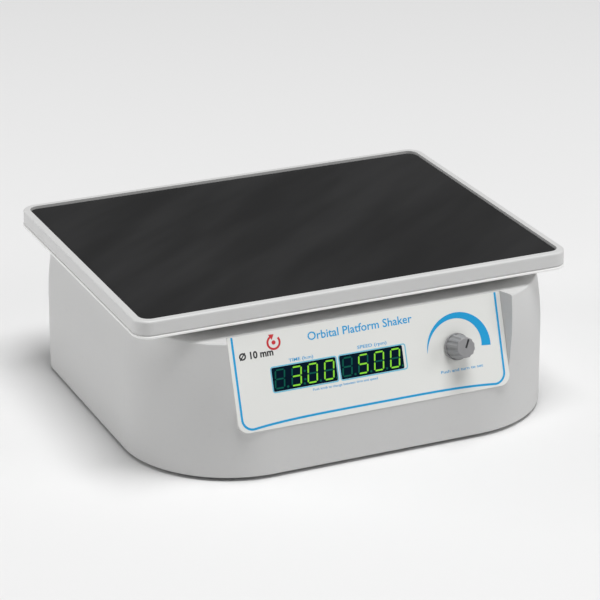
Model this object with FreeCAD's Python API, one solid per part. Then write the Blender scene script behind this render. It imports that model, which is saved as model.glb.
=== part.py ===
"""Orbital shaker for lab vessels: a low moulded housing under a platform that moves in a small circle.

Millimetres, +Z up. The floor is Z = 0, the front is -Y, and the origin is under the middle of the object.
A belt turns the drive crank. Its eccentric pin carries the platform, and four idler cranks of the same
throw hold the platform level and keep it from turning.
"""
import FreeCAD, Part
import math
import os

from FreeCAD import Placement, Rotation, Vector

# ---------------------------------------------------------------- driving dimensions

# Orbit
ORBIT_RADIUS = 5.0            # crank throw: the platform moves in a 10 mm circle
REST_CRANK_ANGLE = 225.0      # where the eccentric pins point at rest, degrees from +X

# Platform
TRAY_SIZE = (338.0, 254.0)    # outside of the rim
TRAY_CORNER = 12.0
RIM_WIDTH = 5.0
RIM_ROUNDING = 1.6
RIM_TOP = 125.0
RIM_BOTTOM = 114.6
MAT_CORNER = 7.8
MAT_CLEARANCE = 0.2
MAT_TOP = 123.0
MAT_THICKNESS = 3.0
TRAY_FLOOR = 3.0
TRAY_SKIRT = 3.0
BASE_PLATE_TOP = 113.8
BASE_PLATE_THICKNESS = 2.0
BASE_PLATE_LIP = 0.5          # how far the base plate stands out past the rim
PLATFORM_FORWARD = 149.3      # platform centre behind the housing's front

# Housing
HOUSING_SIZE = (328.0, 269.5)
HOUSING_ASIDE = 1.3           # housing's middle to the right of the drive axis
HOUSING_BOTTOM = 3.0
HOUSING_TOP = 103.5
FRONT_CORNER = 82.5
BACK_CORNER = 30.0
WALL = 3.0
DRAFT = 0.5                   # degrees, wider towards the floor
CURVE_START = 62.0            # height where the wall starts to lean inwards
CURVE_RADIUS = 210.0
TOP_CHAMFER = 0.8

# Control panel: a flat seat that leans back from the housing's front
PANEL_TILT = 18.5
PANEL_FOOT = 37.4             # height of its lower edge
PANEL_WIDTH = 215.2           # at the seat
PANEL_FLARE = 0.364           # how much each side of the recess spreads per unit of depth
PANEL_CORNER = 9.0
LABEL_SIZE = (214.4, 68.4)
LABEL_FOOT = 0.7
LABEL_THICKNESS = 0.4
LABEL_CORNER = 8.0
WINDOW_SIZE = (49.6, 17.0)
WINDOW_PITCH = 52.4
WINDOW_RISE = 34.6            # middle of the windows, up the panel
KNOB_ACROSS = 67.2            # knob axis, to the right of the panel's middle
KNOB_RISE = 35.0
KNOB_SKIRT = (9.9, 2.0)       # radius and height of the plain skirt at its foot
KNOB_BODY = (9.2, 7.5)        # radius of the fluted body at the skirt and at the top
KNOB_FACE_RADIUS = 6.6
KNOB_FACE_CHAMFER = 0.9
KNOB_HEIGHT = 15.5
KNOB_FLUTES = 12
KNOB_FLUTE_RADIUS = 2.3
KNOB_FLUTE_DEPTH = 0.6
KNOB_GAP = 1.2                # between the label and the knob; twice what a push takes

# Drive train
CHASSIS_LEVEL = (62.0, 66.0)
CHASSIS_SIZE = (276.0, 196.0)
IDLER_ACROSS = 115.0
IDLER_ALONG = 75.0
SHAFT_RADIUS = 4.0
MOTOR_ACROSS = 98.0           # motor axis, to the right of the drive axis
MOTOR_RADIUS = 28.0
BELT_LEVEL = (44.0, 54.0)
DRIVEN_RADIUS = 54.0          # belt seat of the driven pulley
MOTOR_PULLEY_RADIUS = 13.5
BELT_THICKNESS = 1.5
BELT_GAP = 0.3                # the belt is a fixed loop, so the pulleys turn just inside it
BEARING = (8.0, 22.0, 7.0)    # bore, outside and width of the standard small ball bearing
RUN_FIT = 0.05                # radial clearance of a running fit

# Housing fittings, measured from the drive axis where a place is named ACROSS or ALONG
COLUMN_RADIUS = 4.5
COLUMN_ACROSS = 149.0
COLUMN_Y = (-42.0, 32.0, 106.0)
PLATE_LEVEL = (3.4, 5.4)
FOOT_ACROSS = 128.0
FOOT_Y = (-72.0, 104.0)
POST_ACROSS = 70.0
POST_ALONG = 80.0
POST_RADIUS = 6.0
REAR_SEAT_DEPTH = 2.0         # flat seat for the inlet and the switch
INLET_ACROSS = 98.0
INLET_SIZE = (27.0, 33.0)
SWITCH_ACROSS = 52.0
SWITCH_SIZE = (13.0, 19.4)
FITTING_HEIGHT = 33.0         # middle of the inlet and of the switch
ROCKER_TILT = 10.0            # degrees either side of level
VENT_COUNT = 12
VENT_PITCH = 9.0
VENT_SIZE = (3.2, 34.0)
BOARD_LEVEL = (12.0, 13.6)

# ---------------------------------------------------------------- worked-out places

HOUSING_HALF = HOUSING_SIZE[0] / 2
CRANK_X = ORBIT_RADIUS * math.cos(math.radians(REST_CRANK_ANGLE))
CRANK_Y = ORBIT_RADIUS * math.sin(math.radians(REST_CRANK_ANGLE))
TILT_COS = math.cos(math.radians(PANEL_TILT))
TILT_SIN = math.sin(math.radians(PANEL_TILT))

# The lower edge of the knob's face is the object's foremost point and the base plate its rearmost; Y = 0
# lies between them.
KNOB_TOP = LABEL_THICKNESS + KNOB_GAP + KNOB_HEIGHT
KNOB_REACH = KNOB_TOP * TILT_COS - (KNOB_RISE - KNOB_FACE_RADIUS) * TILT_SIN
PLATFORM_REACH = PLATFORM_FORWARD + TRAY_SIZE[1] / 2 + BASE_PLATE_LIP
FRONT_Y = -(PLATFORM_REACH - KNOB_REACH) / 2
BACK_Y = FRONT_Y + HOUSING_SIZE[1]
PLATFORM_X = 0.0
PLATFORM_Y = FRONT_Y + PLATFORM_FORWARD
AXIS_X = PLATFORM_X - CRANK_X
AXIS_Y = PLATFORM_Y - CRANK_Y
HOUSING_X = AXIS_X + HOUSING_ASIDE
MOTOR_X = AXIS_X + MOTOR_ACROSS
IDLERS = {
    "front_left": (AXIS_X - IDLER_ACROSS, AXIS_Y - IDLER_ALONG),
    "front_right": (AXIS_X + IDLER_ACROSS, AXIS_Y - IDLER_ALONG),
    "back_left": (AXIS_X - IDLER_ACROSS, AXIS_Y + IDLER_ALONG),
    "back_right": (AXIS_X + IDLER_ACROSS, AXIS_Y + IDLER_ALONG),
}
CRANKS = [(AXIS_X, AXIS_Y)] + list(IDLERS.values())
COLUMNS = [(AXIS_X + side * COLUMN_ACROSS, y) for side in (-1, 1) for y in COLUMN_Y]
FEET = [(AXIS_X + side * FOOT_ACROSS, y) for side in (-1, 1) for y in FOOT_Y]
POSTS = [(AXIS_X + i * POST_ACROSS, AXIS_Y + j * POST_ALONG) for i in (-1, 1) for j in (-1, 1)]
INLET_X = AXIS_X + INLET_ACROSS
SWITCH_X = AXIS_X + SWITCH_ACROSS
REAR_SEAT_Y = BACK_Y - REAR_SEAT_DEPTH

# Heights in the crank stack, from the chassis up
LOWER_BEARING = CHASSIS_LEVEL[1]
UPPER_BEARING = 90.0
COLLAR_FOOT = UPPER_BEARING + BEARING[2]
HOUSING_TUBE_TOP = 98.0
WEB_LEVEL = (104.7, 107.7)
PIN_BEARING = 109.0
PIN_TOP = 116.2
CUP_BOTTOM = 108.1

UP = Vector(0, 0, 1)
ALONG_X = Vector(1, 0, 0)


# ---------------------------------------------------------------- small helpers

def box(x0, x1, y0, y1, z0, z1):
    """Box between two corners."""
    return Part.makeBox(x1 - x0, y1 - y0, z1 - z0, Vector(x0, y0, z0))


def cylinder(x, y, z0, z1, radius):
    """Upright cylinder between two heights."""
    return Part.makeCylinder(radius, z1 - z0, Vector(x, y, z0))


def ring(x, y, z0, z1, outer, inner):
    """Upright tube between two heights."""
    return cylinder(x, y, z0, z1, outer).cut(cylinder(x, y, z0 - 1, z1 + 1, inner))


def join(shapes):
    """One solid from shapes that touch or overlap."""
    return shapes[0].fuse(shapes[1:]).removeSplitter()


def group(shapes):
    """Several separate solids in one node."""
    return Part.makeCompound(shapes)


def rounded_slab(x0, x1, y0, y1, z0, z1, corner):
    """Slab whose four upright edges are rounded."""
    slab = box(x0, x1, y0, y1, z0, z1)
    upright = [e for e in slab.Edges if abs(e.tangentAt(e.FirstParameter).z) > 0.9]
    return slab.makeFillet(corner, upright)


def centred_slab(x, y, size, z0, z1, corner):
    """Rounded slab about a middle point."""
    return rounded_slab(x - size[0] / 2, x + size[0] / 2, y - size[1] / 2, y + size[1] / 2, z0, z1, corner)


def screw(x, y, z, points_up, head_radius, shank_radius, length):
    """Low-headed screw whose head is seated at height z, with a cross recess."""
    head_height = 0.42 * head_radius
    slot = 0.3 * head_radius
    reach = 1.1 * head_radius
    head = cylinder(x, y, z, z + head_height, head_radius)
    head = head.makeChamfer(0.35 * head_height, [head.Edges[0]])
    cross = [box(x - a / 2, x + a / 2, y - b / 2, y + b / 2, z + head_height / 2, z + head_radius)
             for a, b in ((slot, reach), (reach, slot))]
    shape = join([head, cylinder(x, y, z - length, z, shank_radius)]).cut(cross)
    if points_up:
        shape.rotate(Vector(x, y, z), Vector(1, 0, 0), 180)
    return shape


def wire_tube(points, radius):
    """Round tube along straight runs that are joined by tangent arcs as large as the runs allow."""
    route = [Vector(*p) for p in points]
    edges = []
    start = route[0]
    for before, here, after in zip(route, route[1:], route[2:]):
        back = (before - here).normalize()
        ahead = (after - here).normalize()
        trim = 0.45 * min((before - here).Length, (after - here).Length)
        first = here + back * trim
        last = here + ahead * trim
        half = back.getAngle(ahead) / 2
        bend = trim * math.tan(half)
        middle = here + (back + ahead).normalize() * (bend / math.sin(half) - bend)
        edges.append(Part.makeLine(start, first))
        edges.append(Part.Arc(first, middle, last).toShape())
        start = last
    edges.append(Part.makeLine(start, route[-1]))
    path = Part.Wire(edges)
    section = Part.Wire(Part.makeCircle(radius, route[0], route[1] - route[0]))
    return path.makePipeShell([section], True, True)


def on_panel(shape, lift=0.0):
    """Moves a shape drawn flat (X across, Y up the panel, Z outwards) onto the control panel."""
    placed = shape.copy()
    place = Placement(Vector(AXIS_X, FRONT_Y, PANEL_FOOT), Rotation(ALONG_X, 90 - PANEL_TILT))
    placed.transformShape(place.multiply(Placement(Vector(0, 0, lift), Rotation())).toMatrix())
    return placed


def panel_tube(across, rise, z0, z1, outer, inner=0.0):
    """Round bar or tube that stands square to the control panel."""
    if inner:
        return on_panel(ring(across, rise, z0, z1, outer, inner))
    return on_panel(cylinder(across, rise, z0, z1, outer))


# ---------------------------------------------------------------- housing

def wall_face(reach, offset, z0, z1, chamfer):
    """Upright section from a corner's centre line out to the wall, which leans in towards the top."""
    slope = math.tan(math.radians(DRAFT))
    radius = CURVE_RADIUS - offset
    foot = reach - offset
    start = foot - (CURVE_START - HOUSING_BOTTOM) * slope
    centre_x = start - radius * math.cos(math.radians(DRAFT))
    centre_z = CURVE_START - radius * math.sin(math.radians(DRAFT))

    def wall_point(z):
        if z <= CURVE_START:
            return Vector(foot - (z - HOUSING_BOTTOM) * slope, 0, z)
        return Vector(centre_x + math.sqrt(radius ** 2 - (z - centre_z) ** 2), 0, z)

    low = wall_point(z0)
    high = wall_point(z1 - chamfer)
    corners = [high, Vector(high.x - chamfer, 0, z1), Vector(0, 0, z1), Vector(0, 0, z0), low]
    if not chamfer:
        corners.pop(1)
    edges = [Part.makeLine(a, b) for a, b in zip(corners, corners[1:])]
    if z1 <= CURVE_START:
        edges.append(Part.makeLine(low, high))
    else:
        bend = wall_point(CURVE_START)
        middle = wall_point((CURVE_START + z1 - chamfer) / 2)
        edges += [Part.makeLine(low, bend), Part.Arc(bend, middle, high).toShape()]
    return Part.Face(Part.Wire(Part.__sortEdges__(edges)))


def housing_solid(offset, z0, z1, chamfer=0.0):
    """The housing's outside shape, or a copy of it moved inwards by offset."""
    front_y = FRONT_Y + FRONT_CORNER
    back_y = BACK_Y - BACK_CORNER
    front_x = HOUSING_HALF - FRONT_CORNER
    back_x = HOUSING_HALF - BACK_CORNER
    big = wall_face(FRONT_CORNER, offset, z0, z1, chamfer)
    small = wall_face(BACK_CORNER, offset, z0, z1, chamfer)

    def placed(shape, x, y, turn):
        shape = shape.copy()
        shape.rotate(Vector(0, 0, 0), UP, turn)
        shape.translate(Vector(x, y, 0))
        return shape

    def corner(face, x, y, turn):
        return placed(face, x, y, turn).revolve(Vector(x, y, 0), UP, 90)

    pieces = [
        box(HOUSING_X - front_x, HOUSING_X + front_x, front_y, back_y, z0, z1),
        placed(big, HOUSING_X - front_x, front_y, 270).extrude(Vector(2 * front_x, 0, 0)),
        placed(small, HOUSING_X - back_x, back_y, 90).extrude(Vector(2 * back_x, 0, 0)),
        placed(big, HOUSING_X - front_x, front_y, 180).extrude(Vector(0, back_y - front_y, 0)),
        placed(big, HOUSING_X + front_x, front_y, 0).extrude(Vector(0, back_y - front_y, 0)),
        corner(big, HOUSING_X - front_x, front_y, 180),
        corner(big, HOUSING_X + front_x, front_y, 270),
        corner(small, HOUSING_X - back_x, back_y, 90),
        corner(small, HOUSING_X + back_x, back_y, 0),
    ]
    return join(pieces)


def rear_block(x, z, size, y0, y1):
    """Block with its middle at (x, z), as seen from behind, between two depths."""
    return box(x - size[0] / 2, x + size[0] / 2, y0, y1, z - size[1] / 2, z + size[1] / 2)


def upright_slot(x, z, size, y0, y1, corner):
    """Block with rounded corners as seen from behind."""
    block = rear_block(x, z, size, y0, y1)
    edges = [e for e in block.Edges if abs(e.tangentAt(e.FirstParameter).y) > 0.9]
    return block.makeFillet(corner, edges)


def flared_block(half, y0, y1, z0, z1):
    """Block drawn flat on the panel, with sides that spread outwards; half its width is given at Z = 0."""
    low = half + z0 * PANEL_FLARE
    high = half + z1 * PANEL_FLARE
    corners = [Vector(-low, y0, z0), Vector(low, y0, z0), Vector(high, y0, z1), Vector(-high, y0, z1)]
    face = Part.Face(Part.makePolygon(corners + corners[:1]))
    return on_panel(face.extrude(Vector(0, y1 - y0, 0)))


def housing_shell():
    """One moulding, open below, with the panel seat, screw columns, vents and rear seat."""
    half = PANEL_WIDTH / 2
    up_panel = 95.0
    pad = on_panel(rounded_slab(-half, half, 0, up_panel, -9, 0, PANEL_CORNER))
    pad = pad.common(box(-200, 200, FRONT_Y - 20, 0, HOUSING_BOTTOM, HOUSING_TOP))
    outside = housing_solid(0.0, HOUSING_BOTTOM, HOUSING_TOP, TOP_CHAMFER).fuse(pad)
    recess = flared_block(half, -12, up_panel, 0, 45)
    seat_x = (INLET_X + SWITCH_X) / 2
    seat_size = (INLET_ACROSS - SWITCH_ACROSS + 44.0, 42.0)
    seat = upright_slot(seat_x, FITTING_HEIGHT, seat_size, REAR_SEAT_Y, REAR_SEAT_Y + 20, 3.0)
    outside = outside.cut([recess, seat])

    panel_back = flared_block(half + WALL * math.hypot(1, PANEL_FLARE), -60, 110, -WALL, 60)
    seat_size = (seat_size[0] + 2 * WALL, seat_size[1] + 2 * WALL)
    seat_back = rear_block(seat_x, FITTING_HEIGHT, seat_size, REAR_SEAT_Y - WALL, BACK_Y + 5)
    columns = [cylinder(x, y, PLATE_LEVEL[1], HOUSING_TOP, COLUMN_RADIUS) for x, y in COLUMNS]
    hollow = housing_solid(WALL, HOUSING_BOTTOM - 5, HOUSING_TOP - WALL)
    shell = outside.cut(hollow.cut([panel_back, seat_back] + columns))

    holes = [cylinder(x, y, HOUSING_TOP - 10, HOUSING_TOP + 10, 7.5) for x, y in CRANKS]
    holes += [cylinder(x, y, 0, 26, 1.5) for x, y in COLUMNS]
    for across in (-WINDOW_PITCH, 0.0):
        half_x = WINDOW_SIZE[0] / 2 + 0.7
        half_y = WINDOW_SIZE[1] / 2 + 1.3
        opening = box(across - half_x, across + half_x, WINDOW_RISE - half_y, WINDOW_RISE + half_y, -20, 5)
        holes.append(on_panel(opening))
    holes.append(panel_tube(KNOB_ACROSS, KNOB_RISE, -20, 5, 3.6))
    for x, size in ((INLET_X, INLET_SIZE), (SWITCH_X, SWITCH_SIZE)):
        loose = (size[0] + 0.4, size[1] + 0.4)
        holes.append(rear_block(x, FITTING_HEIGHT, loose, REAR_SEAT_Y - 12, BACK_Y + 5))
    for i in range(VENT_COUNT):
        x = AXIS_X - 122 + i * VENT_PITCH
        holes.append(upright_slot(x, 41.0, VENT_SIZE, BACK_Y - 20, BACK_Y + 10, 1.59))
    return shell.cut(holes)


def base_pieces():
    """Bottom plate with its feet and screws."""
    plate = housing_solid(WALL + 0.6, PLATE_LEVEL[0], PLATE_LEVEL[1])
    holes = [cylinder(x, y, 0, 10, 1.9) for x, y in FEET]
    holes += [cylinder(x, y, 0, 10, 1.5) for x, y in COLUMNS]
    holes += [cylinder(x, y, 0, 10, 2.0) for x, y in POSTS]
    feet = []
    for x, y in FEET:
        foot = Part.makeCone(10.5, 11.5, PLATE_LEVEL[0], Vector(x, y, 0))
        feet.append(foot.cut([cylinder(x, y, -1, 1.6, 4.5), cylinder(x, y, 0, 5, 1.9)]))
    return {
        "bottom_plate": plate.cut(holes),
        "rubber_feet": group(feet),
        "foot_screws": group([screw(x, y, 1.6, True, 3.2, 1.9, 7.0) for x, y in FEET]),
        "bottom_screws": group([screw(x, y, PLATE_LEVEL[0], True, 3.0, 1.5, 16.0) for x, y in COLUMNS]),
    }


# ---------------------------------------------------------------- chassis and bearings

def bearing_outer(x, y, z):
    """Outer ring of a ball bearing with its two shields."""
    top = z + BEARING[2]
    shield = 6.1
    pieces = [ring(x, y, z, top, BEARING[1] / 2, 9.3)]
    pieces.append(ring(x, y, z + 0.3, z + 0.9, 9.4, shield))
    pieces.append(ring(x, y, top - 0.9, top - 0.3, 9.4, shield))
    return join(pieces)


def bearing_inner(x, y, z):
    """Inner ring of a ball bearing."""
    return ring(x, y, z, z + BEARING[2], 5.9, BEARING[0] / 2)


def bearing_housing(x, y):
    """Flanged tube that holds a lower and an upper ball bearing against an inner shoulder."""
    flange_top = CHASSIS_LEVEL[1] + 4.0
    tube = join([ring(x, y, CHASSIS_LEVEL[1], HOUSING_TUBE_TOP, 15.0, 9.5),
                 ring(x, y, CHASSIS_LEVEL[1], flange_top, 23.0, 9.5)])
    seats = [cylinder(x, y, CHASSIS_LEVEL[1] - 1, LOWER_BEARING + BEARING[2], BEARING[1] / 2)]
    seats.append(cylinder(x, y, UPPER_BEARING, HOUSING_TUBE_TOP + 1, BEARING[1] / 2))
    holes = [cylinder(hx, hy, 60, 75, 1.5) for hx, hy in around(x, y, 19.0, 4, 45.0)]
    return tube.cut(seats + holes)


def around(x, y, radius, count, start=0.0):
    """Points evenly spaced on a circle."""
    turns = [math.radians(start + 360.0 * i / count) for i in range(count)]
    return [(x + radius * math.cos(t), y + radius * math.sin(t)) for t in turns]


def chassis_pieces():
    """Chassis plate on its posts, with the bearing housings and their bearings."""
    plate = centred_slab(AXIS_X, AXIS_Y, CHASSIS_SIZE, CHASSIS_LEVEL[0], CHASSIS_LEVEL[1], 12.0)
    low, high = CHASSIS_LEVEL[0] - 1, CHASSIS_LEVEL[1] + 1
    holes = [cylinder(x, y, low, high, 9.5) for x, y in CRANKS]
    holes += [cylinder(x, y, low, high, 2.0) for x, y in POSTS]
    holes += [cylinder(hx, hy, low, high, 1.5) for x, y in CRANKS for hx, hy in around(x, y, 19.0, 4, 45.0)]
    holes.append(cylinder(MOTOR_X, AXIS_Y, low, high, 8.0))
    holes += [cylinder(hx, hy, low, high, 1.5) for hx, hy in around(MOTOR_X, AXIS_Y, 20.0, 4, 45.0)]
    for side in (-1, 1):
        wire_x = AXIS_X + side * 60.0
        holes.append(rounded_slab(wire_x - 27, wire_x + 27, AXIS_Y + 45, AXIS_Y + 63, low, high, 5.0))
    posts = []
    for x, y in POSTS:
        post = cylinder(x, y, PLATE_LEVEL[1], CHASSIS_LEVEL[0], POST_RADIUS)
        ends = [cylinder(x, y, 0, PLATE_LEVEL[1] + 11, 2.0), cylinder(x, y, CHASSIS_LEVEL[0] - 11, 80, 2.0)]
        posts.append(post.cut(ends))
    post_screws = [screw(x, y, CHASSIS_LEVEL[1], False, 4.0, 2.0, 14.0) for x, y in POSTS]
    post_screws += [screw(x, y, PLATE_LEVEL[0], True, 4.0, 2.0, 12.0) for x, y in POSTS]
    flange_top = CHASSIS_LEVEL[1] + 4.0
    flange_screws = [screw(hx, hy, flange_top, False, 2.8, 1.5, 8.0)
                     for x, y in CRANKS for hx, hy in around(x, y, 19.0, 4, 45.0)]
    idlers = list(IDLERS.values())
    levels = (LOWER_BEARING, UPPER_BEARING)
    return {
        "chassis_plate": plate.cut(holes),
        "chassis_posts": group(posts),
        "chassis_screws": group(post_screws),
        "drive_bearing_housing": bearing_housing(AXIS_X, AXIS_Y),
        "idler_bearing_housings": group([bearing_housing(x, y) for x, y in idlers]),
        "bearing_housing_screws": group(flange_screws),
        "drive_bearing_outer_rings": group([bearing_outer(AXIS_X, AXIS_Y, z) for z in levels]),
        "idler_bearing_outer_rings": group([bearing_outer(x, y, z) for x, y in idlers for z in levels]),
    }


# ---------------------------------------------------------------- cranks, pulleys, motor

def inner_rings(x, y):
    """The three inner rings on one crank: two on its shaft and one on its eccentric pin."""
    rings = [bearing_inner(x, y, z) for z in (LOWER_BEARING, UPPER_BEARING)]
    rings.append(bearing_inner(x + CRANK_X, y + CRANK_Y, PIN_BEARING))
    return group(rings)


def eccentric(x, y, web_radius):
    """Collar above the upper bearing, the crank web over the housing and the eccentric pin."""
    middle_x = x + CRANK_X / 2
    middle_y = y + CRANK_Y / 2
    pin_x = x + CRANK_X
    pin_y = y + CRANK_Y
    return [
        cylinder(x, y, COLLAR_FOOT, WEB_LEVEL[0], 5.6),
        cylinder(middle_x, middle_y, WEB_LEVEL[0], WEB_LEVEL[1], web_radius),
        cylinder(pin_x, pin_y, WEB_LEVEL[1], PIN_BEARING, 5.6),
        cylinder(pin_x, pin_y, PIN_BEARING, PIN_TOP, SHAFT_RADIUS),
    ]


def idler_crank(x, y):
    """Idler crank turned from one bar: shaft, collar, web and eccentric pin."""
    return join([cylinder(x, y, CHASSIS_LEVEL[0] + 1.5, COLLAR_FOOT, SHAFT_RADIUS)] + eccentric(x, y, 11.5))


def flanged_pulley(x, y, seat_radius, hub_radius, bore_radius):
    """Flat-belt pulley with two flanges, a thin web and a hub."""
    flange = 3.0
    z0, z1 = BELT_LEVEL
    rim_inner = max(hub_radius, seat_radius - 5.0)
    pieces = [
        ring(x, y, z0 - 1.5, z0, seat_radius + flange, rim_inner),
        ring(x, y, z0, z1, seat_radius, rim_inner),
        ring(x, y, z1, z1 + 1.5, seat_radius + flange, rim_inner),
        ring(x, y, z0 - 3.0, z1 + 3.0, hub_radius, bore_radius),
    ]
    if rim_inner > hub_radius:
        middle = (z0 + z1) / 2
        web = ring(x, y, middle - 2, middle + 2, rim_inner + 0.5, hub_radius - 0.5)
        pieces.append(web.cut([cylinder(hx, hy, z0, z1, 9.0) for hx, hy in around(x, y, 30.0, 6)]))
    return join(pieces)


def belt_face(radius_a, radius_b, centre_distance):
    """Flat face inside an open belt loop about two circles, the first at the origin."""
    lean = math.acos((radius_a - radius_b) / centre_distance)

    def on_circle(centre, radius, angle):
        return Vector(centre + radius * math.cos(angle), radius * math.sin(angle), 0)

    a_top = on_circle(0, radius_a, lean)
    a_back = on_circle(0, radius_a, math.pi)
    a_low = on_circle(0, radius_a, -lean)
    b_top = on_circle(centre_distance, radius_b, lean)
    b_front = on_circle(centre_distance, radius_b, 0)
    b_low = on_circle(centre_distance, radius_b, -lean)
    edges = [Part.Arc(a_top, a_back, a_low).toShape(), Part.makeLine(a_low, b_low)]
    edges += [Part.Arc(b_low, b_front, b_top).toShape(), Part.makeLine(b_top, a_top)]
    return Part.Face(Part.Wire(edges))


def drive_belt():
    """Flat belt as a closed loop just clear of both pulleys."""
    inner = belt_face(DRIVEN_RADIUS + BELT_GAP, MOTOR_PULLEY_RADIUS + BELT_GAP, MOTOR_ACROSS)
    grow = BELT_GAP + BELT_THICKNESS
    outer = belt_face(DRIVEN_RADIUS + grow, MOTOR_PULLEY_RADIUS + grow, MOTOR_ACROSS)
    height = BELT_LEVEL[1] - BELT_LEVEL[0] - 0.8
    belt = outer.cut(inner).extrude(Vector(0, 0, height))
    belt.translate(Vector(AXIS_X, AXIS_Y, BELT_LEVEL[0] + 0.4))
    return belt


def counterweight():
    """Half disc opposite the eccentric pin, on a hub."""
    z0, z1 = 27.0, 37.0
    half = Part.makeCylinder(56.0, z1 - z0, Vector(AXIS_X, AXIS_Y, z0), UP, 150)
    half.rotate(Vector(AXIS_X, AXIS_Y, 0), UP, REST_CRANK_ANGLE - 180 - 75)
    hub = cylinder(AXIS_X, AXIS_Y, z0, z1 + 2.0, 12.0)
    return join([half, hub]).cut(cylinder(AXIS_X, AXIS_Y, z0 - 1, z1 + 3, SHAFT_RADIUS))


def drive_pieces():
    """Drive shaft with its crank, pulley and counterweight, the belt and the idler cranks."""
    crank = join(eccentric(AXIS_X, AXIS_Y, 14.0))
    crank = crank.cut(cylinder(AXIS_X, AXIS_Y, COLLAR_FOOT - 1, WEB_LEVEL[1] - 1, SHAFT_RADIUS))
    made = {
        "drive_shaft": cylinder(AXIS_X, AXIS_Y, 25.0, WEB_LEVEL[1] - 1, SHAFT_RADIUS),
        "drive_crank": crank,
        "driven_pulley": flanged_pulley(AXIS_X, AXIS_Y, DRIVEN_RADIUS, 12.0, SHAFT_RADIUS),
        "counterweight": counterweight(),
        "drive_inner_rings": inner_rings(AXIS_X, AXIS_Y),
        "drive_belt": drive_belt(),
    }
    for place, (x, y) in IDLERS.items():
        made["idler_crank_" + place] = idler_crank(x, y)
        made["inner_rings_" + place] = inner_rings(x, y)
    return made


def motor_pieces():
    """Flat motor that hangs its shaft down through the chassis plate."""
    z0, z1 = CHASSIS_LEVEL[1], 95.0
    can = cylinder(MOTOR_X, AXIS_Y, z0, z1, MOTOR_RADIUS)
    can = can.makeFillet(2.5, [e for e in can.Edges if e.BoundBox.ZMin > z1 - 0.1])
    can = can.cut([cylinder(MOTOR_X, AXIS_Y, z0 + 3, z1 - 3, 25.0),
                   cylinder(MOTOR_X, AXIS_Y, z0 - 1, z1 - 1, 3.0 + RUN_FIT)])
    can = can.cut([cylinder(hx, hy, z0 - 1, z0 + 3, 1.5)
                   for hx, hy in around(MOTOR_X, AXIS_Y, 20.0, 4, 45.0)])
    screws = [screw(hx, hy, CHASSIS_LEVEL[0], True, 2.6, 1.5, 6.5)
              for hx, hy in around(MOTOR_X, AXIS_Y, 20.0, 4, 45.0)]
    return {
        "motor_can": can,
        "motor_screws": group(screws),
        "motor_rotor": ring(MOTOR_X, AXIS_Y, z0 + 4, z1 - 4, 24.4, 3.0),
        "motor_shaft": cylinder(MOTOR_X, AXIS_Y, BELT_LEVEL[0] - 3, z1 - 1.5, 3.0),
        "motor_pulley": flanged_pulley(MOTOR_X, AXIS_Y, MOTOR_PULLEY_RADIUS, 8.5, 3.0),
    }


# ---------------------------------------------------------------- platform

PLATFORM_PINS = [(x + CRANK_X, y + CRANK_Y) for x, y in CRANKS]
PLATFORM_SCREWS = [(PLATFORM_X + i * 150.0, PLATFORM_Y + j * 112.0) for i in (-1, 0, 1) for j in (-1, 1)]


def platform_tray():
    """Tray with a raised rim, a floor for the mat, a short skirt and screw bosses."""
    tray = centred_slab(PLATFORM_X, PLATFORM_Y, TRAY_SIZE, RIM_BOTTOM, RIM_TOP, TRAY_CORNER)
    top = [e for e in tray.Edges if e.BoundBox.ZMin > RIM_TOP - 0.01]
    tray = tray.makeFillet(RIM_ROUNDING, top)
    inside = (TRAY_SIZE[0] - 2 * RIM_WIDTH, TRAY_SIZE[1] - 2 * RIM_WIDTH)
    floor = MAT_TOP - MAT_THICKNESS
    recess_corner = MAT_CORNER + MAT_CLEARANCE
    recess = centred_slab(PLATFORM_X, PLATFORM_Y, inside, floor, RIM_TOP + 5, recess_corner)
    under = (TRAY_SIZE[0] - 2 * TRAY_SKIRT, TRAY_SIZE[1] - 2 * TRAY_SKIRT)
    under = centred_slab(PLATFORM_X, PLATFORM_Y, under, RIM_BOTTOM - 5, floor - TRAY_FLOOR,
                         TRAY_CORNER - TRAY_SKIRT)
    bosses = [cylinder(x, y, BASE_PLATE_TOP, floor - 1, 4.0) for x, y in PLATFORM_SCREWS]
    tray = join([tray.cut([recess, under])] + bosses)
    return tray.cut([cylinder(x, y, BASE_PLATE_TOP - 1, floor - 1.5, 1.5) for x, y in PLATFORM_SCREWS])


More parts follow.
